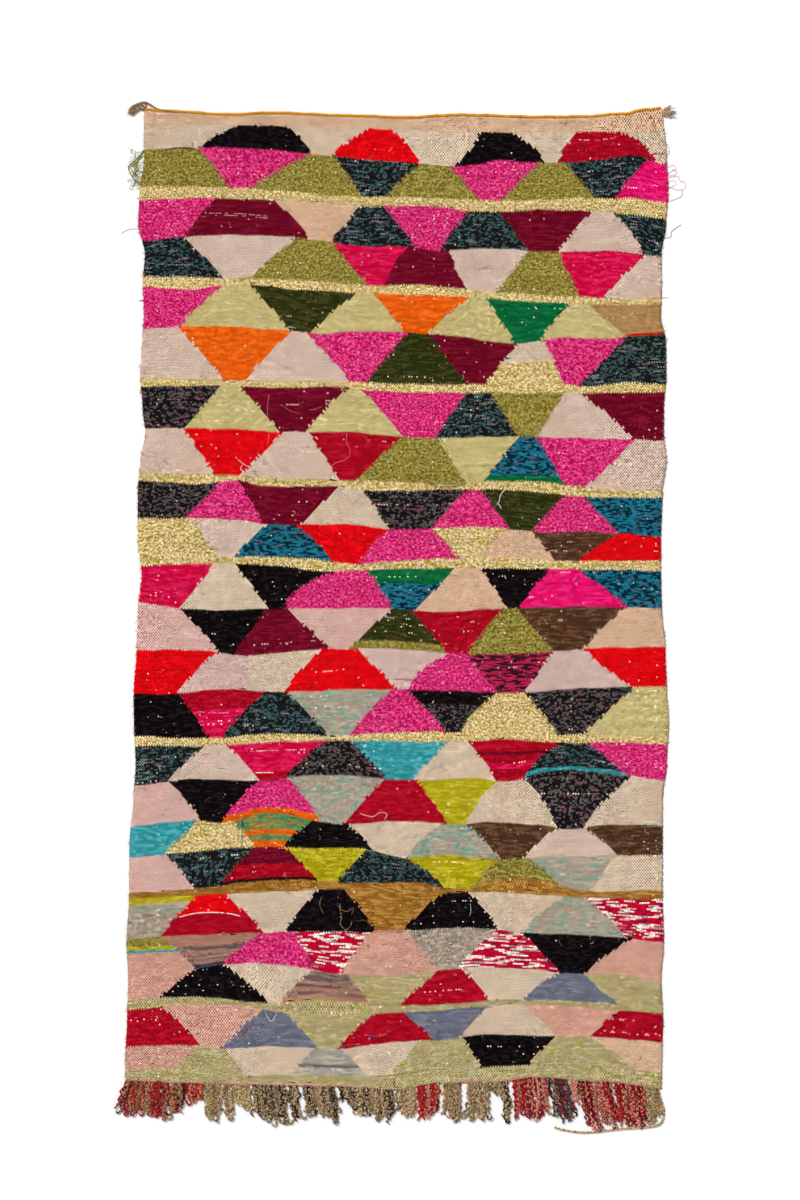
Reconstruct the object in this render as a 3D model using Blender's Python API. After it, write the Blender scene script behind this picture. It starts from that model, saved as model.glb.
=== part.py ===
"""A boucherouite rug, laid flat on a floor.

A weft-faced cloth of rag and wool yarn, a twined cord along its heading, a yarn loop and a frayed
tuft at the heading's corners, and a fringe of warp ends along its foot. Metres, +Z up, with the
fringe towards -Y. The origin is on the floor, under the middle of the whole rug's box.
"""

import bisect
import math

import bmesh
import bpy
from mathutils import Vector

# Driving sizes of the cloth
CLOTH_THICKNESS = 0.005
CELLS_ACROSS = 24
CELLS_ALONG = 44
CLEARANCE = 0.0003

# Low swells of the upper face: height, and radians per metre across and along
SWELLS = (
    (0.0003, 5.1, 10.0),
    (0.0003, 5.1, -5.4),
    (0.0004, 3.0, 19.0),
)

# The cloth's sides, foot to head: y, x of the left edge, x of the right edge
SIDES = (
    (-1.120, -0.651, 0.638),
    (-1.050, -0.650, 0.639),
    (-0.970, -0.646, 0.641),
    (-0.870, -0.643, 0.637),
    (-0.790, -0.647, 0.643),
    (-0.680, -0.641, 0.640),
    (-0.550, -0.640, 0.640),
    (-0.430, -0.630, 0.640),
    (-0.360, -0.625, 0.650),
    (-0.250, -0.629, 0.655),
    (-0.180, -0.630, 0.650),
    (-0.080, -0.623, 0.647),
    (0.020, -0.620, 0.638),
    (0.100, -0.611, 0.636),
    (0.180, -0.620, 0.636),
    (0.300, -0.620, 0.640),
    (0.375, -0.614, 0.650),
    (0.440, -0.602, 0.643),
    (0.500, -0.609, 0.643),
    (0.580, -0.614, 0.649),
    (0.660, -0.610, 0.648),
    (0.720, -0.606, 0.636),
    (0.800, -0.608, 0.638),
    (0.870, -0.603, 0.637),
    (0.940, -0.619, 0.648),
    (1.020, -0.616, 0.654),
    (1.100, -0.605, 0.650),
    (1.220, -0.605, 0.640),
)

# The cloth's ends: x, y
HEAD = (
    (-0.605, 1.215),
    (-0.550, 1.211),
    (-0.400, 1.203),
    (-0.300, 1.207),
    (-0.100, 1.200),
    (0.020, 1.196),
    (0.150, 1.202),
    (0.350, 1.197),
    (0.450, 1.198),
    (0.550, 1.205),
    (0.600, 1.215),
    (0.640, 1.218),
)
FOOT = (
    (-0.650, -1.117),
    (-0.500, -1.122),
    (-0.150, -1.130),
    (0.000, -1.138),
    (0.100, -1.122),
    (0.250, -1.119),
    (0.330, -1.108),
    (0.500, -1.119),
    (0.640, -1.135),
)

# The heading cord, beaded by its twist
CORD_RADIUS = 0.0032
CORD_WAIST = 0.8
CORD_STEPS_PER_CELL = 5
CORD_END_INSET = 0.004

# The yarn loop at the head's left corner
LOOP_CENTRE = (-0.6245, 1.2215)
LOOP_HALF_SIZE = (0.0150, 0.0135)
LOOP_WOBBLE = 0.08
LOOP_YARN_RADIUS = 0.0026
LOOP_POINTS = 22

# The frayed tuft at the head's right corner
TUFT_PLACE = (0.6435, 1.2170)
TUFT_TURN = math.radians(118)
TUFT_WIDTH = 0.013
TUFT_ENDS = 5
TUFT_END_WIDTH = 0.002
TUFT_SECTIONS = (0.4, 0.7, 1.0)
TUFT_LENGTH = 0.022
TUFT_SPREAD = 0.60
TUFT_UNEVENNESS = 0.18

# The backing strip and its warp ends
STRIP_DEPTH = 0.006
STRIP_HEIGHT = 0.0045
END_WIDTH = 0.0048
END_HEIGHT = 0.0032
END_TAPER = 0.6
END_SECTIONS = 4
CURL = 0.0018
CURL_TURNS = 1.3
PHASE_PER_BUNCH = 0.4
REACH_UNEVENNESS = 0.05
REACH_RATE = 2.4

# Bunches of warp ends, left to right: x of the first and the last root, number of ends, how far
# the first and the last end reach towards -Y, and how far those two lean towards +X
BUNCHES = (
    (-0.646, -0.545, 15, 0.072, 0.082, -0.024, -0.004),
    (-0.538, -0.508, 5, 0.084, 0.052, -0.002, 0.001),
    (-0.500, -0.466, 5, 0.042, 0.046, 0.002, 0.001),
    (-0.457, -0.423, 5, 0.094, 0.076, 0.001, 0.001),
    (-0.412, -0.392, 3, 0.076, 0.082, 0.002, 0.002),
    (-0.384, -0.355, 4, 0.050, 0.062, 0.004, 0.008),
    (-0.345, -0.268, 11, 0.074, 0.088, 0.010, 0.007),
    (-0.256, -0.240, 3, 0.090, 0.064, 0.008, 0.006),
    (-0.224, -0.150, 10, 0.066, 0.084, 0.012, 0.013),
    (-0.140, -0.076, 8, 0.040, 0.064, 0.014, 0.010),
    (-0.068, -0.010, 8, 0.060, 0.076, 0.008, 0.004),
    (0.004, 0.044, 5, 0.060, 0.066, 0.002, 0.002),
    (0.052, 0.105, 7, 0.080, 0.066, 0.002, 0.002),
    (0.113, 0.155, 6, 0.078, 0.092, 0.002, 0.001),
    (0.172, 0.222, 7, 0.088, 0.078, 0.000, 0.001),
    (0.231, 0.244, 2, 0.034, 0.032, 0.001, 0.002),
    (0.254, 0.270, 3, 0.090, 0.080, 0.002, 0.004),
    (0.279, 0.358, 9, 0.088, 0.098, 0.004, 0.012),
    (0.367, 0.408, 6, 0.098, 0.100, 0.022, 0.026),
    (0.419, 0.428, 2, 0.062, 0.062, 0.014, 0.014),
    (0.440, 0.468, 4, 0.104, 0.106, 0.024, 0.025),
    (0.480, 0.518, 6, 0.088, 0.092, 0.025, 0.020),
    (0.527, 0.592, 9, 0.092, 0.084, 0.018, 0.008),
    (0.600, 0.622, 3, 0.078, 0.066, 0.006, 0.003),
)

# The one long end, which lies round the foot's right corner: x, y of points along its middle
LONG_END = (
    (0.6320, -1.150),
    (0.6405, -1.175),
    (0.6420, -1.200),
    (0.6320, -1.219),
    (0.6000, -1.229),
    (0.5400, -1.233),
    (0.4800, -1.240),
    (0.4400, -1.239),
    (0.4000, -1.232),
    (0.3800, -1.226),
)
LONG_END_WIDTH = 0.005
LONG_END_STEPS = 3

# Colours and roughness of the yarns
YARNS = {
    "mixed_wool": ((0.55, 0.16, 0.20), 0.95),
    "ochre_cord": ((0.62, 0.36, 0.06), 0.90),
    "grey_yarn": ((0.46, 0.42, 0.36), 0.95),
    "beige_yarn": ((0.50, 0.38, 0.27), 0.95),
    "warp_ends": ((0.33, 0.20, 0.15), 0.95),
}


def read_row(rows, at, column):
    """The column's value where the first column reads at, eased between two rows."""
    keys = [row[0] for row in rows]
    at = min(max(at, keys[0]), keys[-1])
    upper = min(bisect.bisect_right(keys, at), len(rows) - 1)
    low = rows[upper - 1]
    high = rows[upper]
    share = (at - low[0]) / (high[0] - low[0])
    return low[column] + (high[column] - low[column]) * share * share * (3 - 2 * share)


def cloth_point(across, along):
    """The cloth's upper face, for across and along from 0 to 1."""
    level = FOOT[0][1] + (HEAD[0][1] - FOOT[0][1]) * along
    left = read_row(SIDES, level, 1)
    right = read_row(SIDES, level, 2)
    x = left + (right - left) * across
    foot = read_row(FOOT, x, 1)
    head = read_row(HEAD, x, 1)
    y = foot + (head - foot) * along
    swell = sum(rise * math.sin(across_rate * x + along_rate * y) for rise, across_rate, along_rate in SWELLS)
    return Vector((x, y, CLOTH_THICKNESS + swell))


def edge_point(x, along):
    """The point at x on the cloth's straight-sided edge, the foot for along 0 and the head for 1."""
    corners = [cloth_point(cell / CELLS_ACROSS, along) for cell in range(CELLS_ACROSS + 1)]
    upper = min(max(bisect.bisect([corner.x for corner in corners], x), 1), CELLS_ACROSS)
    start = corners[upper - 1]
    end = corners[upper]
    return start.lerp(end, (x - start.x) / (end.x - start.x))


def new_material(name):
    """A plain Principled material in the yarn's colour."""
    colour, roughness = YARNS[name]
    material = bpy.data.materials.new(name)
    material.use_nodes = True
    shader = material.node_tree.nodes["Principled BSDF"]
    shader.inputs["Base Color"].default_value = (*colour, 1.0)
    shader.inputs["Roughness"].default_value = roughness
    shader.inputs["Metallic"].default_value = 0.0
    return material


def add_part(name, data, yarn, rug, collection):
    """An object for one piece, parented to the rug's empty."""
    data.materials.append(new_material(yarn))
    part = bpy.data.objects.new(name, data)
    part.parent = rug
    collection.objects.link(part)
    return part


def mesh_from(shape, name):
    """A mesh from a bmesh, with its faces turned outwards."""
    bmesh.ops.recalc_face_normals(shape, faces=shape.faces[:])
    mesh = bpy.data.meshes.new(name)
    shape.to_mesh(mesh)
    shape.free()
    return mesh


def thicken_down(shape):
    """Closes an open sheet with a rim and one flat face on the floor."""
    sheet = shape.faces[:]
    top = set(shape.verts)
    bmesh.ops.extrude_face_region(shape, geom=sheet)
    lower = [vert for vert in shape.verts if vert not in top]
    for vert in lower:
        vert.co.z = 0.0
    floor_verts = set(lower)
    floor = [face for face in shape.faces if floor_verts.issuperset(face.verts)]
    bmesh.ops.dissolve_faces(shape, faces=floor, use_verts=True)


def make_cloth():
    """The woven cloth: an uneven outline, a slightly swelling upper face and a flat underside."""
    shape = bmesh.new()
    bmesh.ops.create_grid(shape, x_segments=CELLS_ACROSS, y_segments=CELLS_ALONG, size=0.5)
    for vert in shape.verts:
        vert.co = cloth_point(vert.co.x + 0.5, vert.co.y + 0.5)
    thicken_down(shape)
    return mesh_from(shape, "cloth")


def make_heading_cord():
    """The cord twined along the head edge, thick and thin by turns."""
    first = cloth_point(0.0, 1.0).x + CORD_END_INSET
    last = cloth_point(1.0, 1.0).x - CORD_END_INSET
    steps = CELLS_ACROSS * CORD_STEPS_PER_CELL
    curve = bpy.data.curves.new("heading_cord", "CURVE")
    curve.dimensions = "3D"
    curve.bevel_depth = CORD_RADIUS
    curve.bevel_resolution = 1
    curve.use_fill_caps = True
    line = curve.splines.new("POLY")
    line.points.add(steps)
    for step, point in enumerate(line.points):
        edge = edge_point(first + (last - first) * step / steps, 1.0)
        point.co = (edge.x, edge.y + CORD_RADIUS + CLEARANCE, CORD_RADIUS, 1.0)
        point.radius = 1.0 if step % 2 else CORD_WAIST
    return curve


def make_corner_loop():
    """A small closed ring of yarn, lying beside the head's left corner."""
    curve = bpy.data.curves.new("corner_loop", "CURVE")
    curve.dimensions = "3D"
    curve.bevel_depth = LOOP_YARN_RADIUS
    curve.bevel_resolution = 1
    ring = curve.splines.new("POLY")
    ring.use_cyclic_u = True
    ring.points.add(LOOP_POINTS - 1)
    for step, point in enumerate(ring.points):
        turn = 2 * math.pi * step / LOOP_POINTS
        reach = 1 + LOOP_WOBBLE * math.sin(3 * turn)
        x = LOOP_CENTRE[0] + LOOP_HALF_SIZE[0] * reach * math.cos(turn)
        y = LOOP_CENTRE[1] + LOOP_HALF_SIZE[1] * reach * math.sin(turn)
        point.co = (x, y, LOOP_YARN_RADIUS, 1.0)
    return curve


def make_backing(roots, width, back_line, depth):
    """A strip on the floor behind a row of yarn ends, and the front face of each end's root."""
    margin = width
    stations = [roots[0] - margin]
    for root in roots:
        stations += [root - width / 2, root + width / 2]
    stations.append(roots[-1] + margin)
    cells = len(stations) - 1
    shape = bmesh.new()
    bmesh.ops.create_grid(shape, x_segments=cells, y_segments=1, size=0.5)
    for vert in shape.verts:
        x = stations[round((vert.co.x + 0.5) * cells)]
        y = back_line(x) - (depth if vert.co.y < 0 else 0.0)
        vert.co = Vector((x, y, STRIP_HEIGHT))
    thicken_down(shape)
    bmesh.ops.recalc_face_normals(shape, faces=shape.faces[:])
    front = {}
    for face in shape.faces:
        middle = face.calc_center_median()
        if face.normal.y > -0.5 or len(face.verts) != 4:
            continue
        nearest = min(roots, key=lambda root: abs(root - middle.x))
        if abs(nearest - middle.x) < width / 4:
            front[nearest] = face
    return shape, [front[root] for root in roots]


def grow_end(shape, root, path, width, height):
    """Extrudes a root face along a path, keeping each section's lower side on the floor."""
    middle = root.calc_center_median()
    corners = [(1 if v.co.x > middle.x else -1, v.co.z > middle.z) for v in root.verts]
    face = root
    before = middle
    for step, centre in enumerate(path):
        face = bmesh.ops.extrude_discrete_faces(shape, faces=[face])["faces"][0]
        after = path[min(step + 1, len(path) - 1)]
        run = Vector((after.x - before.x, after.y - before.y, 0.0)).normalized()
        side = Vector((-run.y, run.x, 0.0))
        share = (step + 1) / len(path)
        half = width / 2 * (1 + (END_TAPER - 1) * share * share)
        for vert, (hand, is_top) in zip(face.verts, corners):
            vert.co = centre + side * half * hand
            vert.co.z = height if is_top else 0.0
        before = centre


def bunch_ends():
    """Root x, reach, lean and curl phase of each warp end."""
    ends = []
    for number, (first, last, count, first_reach, last_reach, first_lean, last_lean) in enumerate(BUNCHES):
        for place in range(count):
            share = place / (count - 1)
            uneven = 1 + REACH_UNEVENNESS * math.sin(REACH_RATE * (number + 3 * place))
            root = first + (last - first) * share
            reach = (first_reach + (last_reach - first_reach) * share) * uneven
            lean = first_lean + (last_lean - first_lean) * share
            ends.append((root, reach, lean, PHASE_PER_BUNCH * number))
    return ends


def end_path(root, reach, lean, phase, start_y):
    """The middle of a warp end: it leans ever more, and waves a little with its bunch."""
    points = []
    for section in range(1, END_SECTIONS + 1):
        share = section / END_SECTIONS
        wave = CURL * math.sin(2 * math.pi * CURL_TURNS * share + phase) - CURL * math.sin(phase)
        x = root + lean * share**1.3 + wave * share
        points.append(Vector((x, start_y - reach * share, 0.0)))
    return points


def long_path():
    """Points along the long end, eased through its table by a Catmull-Rom curve."""
    knots = [Vector((x, y, 0.0)) for x, y in LONG_END]
    points = []
    for index in range(1, len(knots)):
        before = knots[max(index - 2, 0)]
        start = knots[index - 1]
        end = knots[index]
        after = knots[min(index + 1, len(knots) - 1)]
        for step in range(LONG_END_STEPS):
            t = step / LONG_END_STEPS
            bend = (end - before) * t
            bend += (before * 2 - start * 5 + end * 4 - after) * t * t
            bend += (start * 3 - before - end * 3 + after) * t * t * t
            points.append(start + bend / 2)
    points.append(knots[-1])
    return points


def make_fringe():
    """The strip along the foot and the warp ends that grow from it."""
    ends = bunch_ends()
    roots = [end[0] for end in ends] + [LONG_END[0][0]]

    def back_line(x):
        return edge_point(x, 0.0).y - CLEARANCE

    shape, faces = make_backing(roots, END_WIDTH, back_line, STRIP_DEPTH)
    for (root, reach, lean, phase), face in zip(ends, faces):
        start_y = face.calc_center_median().y
        grow_end(shape, face, end_path(root, reach, lean, phase, start_y), END_WIDTH, END_HEIGHT)
    grow_end(shape, faces[-1], long_path(), LONG_END_WIDTH, END_HEIGHT)
    return mesh_from(shape, "fringe")


def make_corner_tuft():
    """A short fan of yarn ends, built along X and turned into place by its object."""
    pitch = TUFT_WIDTH / (TUFT_ENDS - 1)
    roots = [(place - (TUFT_ENDS - 1) / 2) * pitch for place in range(TUFT_ENDS)]
    width = TUFT_END_WIDTH
    shape, faces = make_backing(roots, width, lambda x: 0.0, STRIP_DEPTH)
    for place, (root, face) in enumerate(zip(roots, faces)):
        fan = TUFT_SPREAD * root / (TUFT_WIDTH / 2)
        reach = TUFT_LENGTH * (1 - TUFT_UNEVENNESS * (place % 2))
        path = []
        for share in TUFT_SECTIONS:
            path.append(Vector((root + fan * reach * share, -STRIP_DEPTH - reach * share, 0.0)))
        grow_end(shape, face, path, width, END_HEIGHT)
    return mesh_from(shape, "corner_tuft")


def world_box(parts):
    """The lowest and the highest corner of the parts as the viewport shows them."""
    graph = bpy.context.evaluated_depsgraph_get()
    points = []
    for part in parts:
        shown = part.evaluated_get(graph)
        mesh = shown.to_mesh()
        points += [shown.matrix_world @ vert.co for vert in mesh.vertices]
        shown.to_mesh_clear()
    low = Vector([min(point[axis] for point in points) for axis in range(3)])
    high = Vector([max(point[axis] for point in points) for axis in range(3)])
    return low, high


def main():
    for leftover in list(bpy.data.objects):
        bpy.data.objects.remove(leftover)
    collection = bpy.data.collections.new("boucherouite_rug")
    bpy.context.scene.collection.children.link(collection)
    rug = bpy.data.objects.new("rug", None)
    collection.objects.link(rug)

    cloth = add_part("cloth", make_cloth(), "mixed_wool", rug, collection)
    cord = add_part("heading_cord", make_heading_cord(), "ochre_cord", rug, collection)
    loop = add_part("corner_loop", make_corner_loop(), "grey_yarn", rug, collection)
    fringe = add_part("fringe", make_fringe(), "warp_ends", rug, collection)
    tuft = add_part("corner_tuft", make_corner_tuft(), "beige_yarn", rug, collection)
    tuft.location = (*TUFT_PLACE, 0.0)
    tuft.rotation_euler.z = TUFT_TURN

    low, high = world_box((cloth, cord, loop, fringe, tuft))
    rug.location = (-(low.x + high.x) / 2, -(low.y + high.y) / 2, -low.z)


main()
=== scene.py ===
"""The looks of a boucherouite rug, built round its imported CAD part.

The cloth is woven here strip by strip: every weft pass is a row of faces, and every patch of colour
is bounded by the warps that its yarn turns round. Chart positions are in centimetres, with the
fringe towards -Y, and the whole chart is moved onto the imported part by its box.
"""

import bisect
import math
import random

import bmesh
import bpy
import numpy as np
from mathutils import Matrix, Vector


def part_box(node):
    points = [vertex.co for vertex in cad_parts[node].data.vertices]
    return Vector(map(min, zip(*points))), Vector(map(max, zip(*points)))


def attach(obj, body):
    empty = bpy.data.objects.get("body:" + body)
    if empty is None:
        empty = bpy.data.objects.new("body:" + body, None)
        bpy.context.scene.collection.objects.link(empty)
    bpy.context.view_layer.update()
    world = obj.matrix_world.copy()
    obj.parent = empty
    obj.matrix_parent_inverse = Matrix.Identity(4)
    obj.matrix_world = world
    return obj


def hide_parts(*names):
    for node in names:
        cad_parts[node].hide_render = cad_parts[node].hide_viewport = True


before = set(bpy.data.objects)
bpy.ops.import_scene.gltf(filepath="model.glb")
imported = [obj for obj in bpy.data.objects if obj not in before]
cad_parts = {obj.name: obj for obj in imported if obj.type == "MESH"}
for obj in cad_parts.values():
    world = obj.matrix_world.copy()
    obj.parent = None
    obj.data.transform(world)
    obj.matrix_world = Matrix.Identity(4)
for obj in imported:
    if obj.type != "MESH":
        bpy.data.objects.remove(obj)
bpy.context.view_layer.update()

CM = 0.01
SEED = 7

# The photograph's frame: metres that a pixel covers, and where its middle is on the chart
METRES_PER_PIXEL = 0.0024
FRAME_HEIGHT_PX = 1200
AIM = (0.0096, 0.0396)
SENSOR_MM = 36
LENS_MM = 100

# Light: an even sky and a broad soft sun, which together light the floor at a strength of about one
SKY_STRENGTH = 0.45
SUN_STRENGTH = 2.55
SUN_ANGLE = math.radians(24)
SUN_FROM = (-0.55, 0.65, 1.0)

# Sizes of the weave
WARP_PITCH = 0.0063
ROW_PITCH = 0.0035
COLUMN_WIDTH = 0.020
SELVEDGE_WIDTH = 0.003
STRAY = 0.9
SCALLOP = 0.0030
LEAST_STEP = 0.0015
SELVEDGE_BEAD = 0.0007
CLOTH_THICKNESS = 0.005
EDGE_HEIGHT = 0.0028
RIB_HEIGHT = 0.00028
RIB_LENGTH = 0.05
UNDERSIDE_STEP = 4
LEAST_ROWS = 3
MERGE_WIDTH = 0.0010
LINE_WOBBLE = 0.0006

# Low swells of the upper face: height, and radians per metre across and along
SWELLS = (
    (0.0003, 5.1, 10.0),
    (0.0003, 5.1, -5.4),
    (0.0004, 3.0, 19.0),
)

# The cloth's sides, foot to head: y, x of the left edge, x of the right edge
SIDES = (
    (-1.120, -0.651, 0.638), (-1.050, -0.650, 0.639), (-0.970, -0.646, 0.641), (-0.870, -0.643, 0.637),
    (-0.790, -0.647, 0.643), (-0.680, -0.641, 0.640), (-0.550, -0.640, 0.640), (-0.430, -0.630, 0.640),
    (-0.360, -0.625, 0.650), (-0.250, -0.629, 0.655), (-0.180, -0.630, 0.650), (-0.080, -0.623, 0.647),
    (0.020, -0.620, 0.638), (0.100, -0.611, 0.636), (0.180, -0.620, 0.636), (0.300, -0.620, 0.640),
    (0.375, -0.614, 0.650), (0.440, -0.602, 0.643), (0.500, -0.609, 0.643), (0.580, -0.614, 0.649),
    (0.660, -0.610, 0.648), (0.720, -0.606, 0.636), (0.800, -0.608, 0.638), (0.870, -0.603, 0.637),
    (0.940, -0.619, 0.648), (1.020, -0.616, 0.654), (1.100, -0.605, 0.650), (1.220, -0.605, 0.640),
)

# The cloth's ends: x, y
HEAD = (
    (-0.605, 1.215), (-0.550, 1.211), (-0.400, 1.203), (-0.300, 1.207), (-0.100, 1.200),
    (0.020, 1.196), (0.150, 1.202), (0.350, 1.197), (0.450, 1.198), (0.550, 1.205),
    (0.600, 1.215), (0.640, 1.218),
)
FOOT = (
    (-0.650, -1.117), (-0.500, -1.122), (-0.150, -1.130), (0.000, -1.138), (0.100, -1.122),
    (0.250, -1.119), (0.330, -1.108), (0.500, -1.119), (0.640, -1.135),
)

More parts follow.
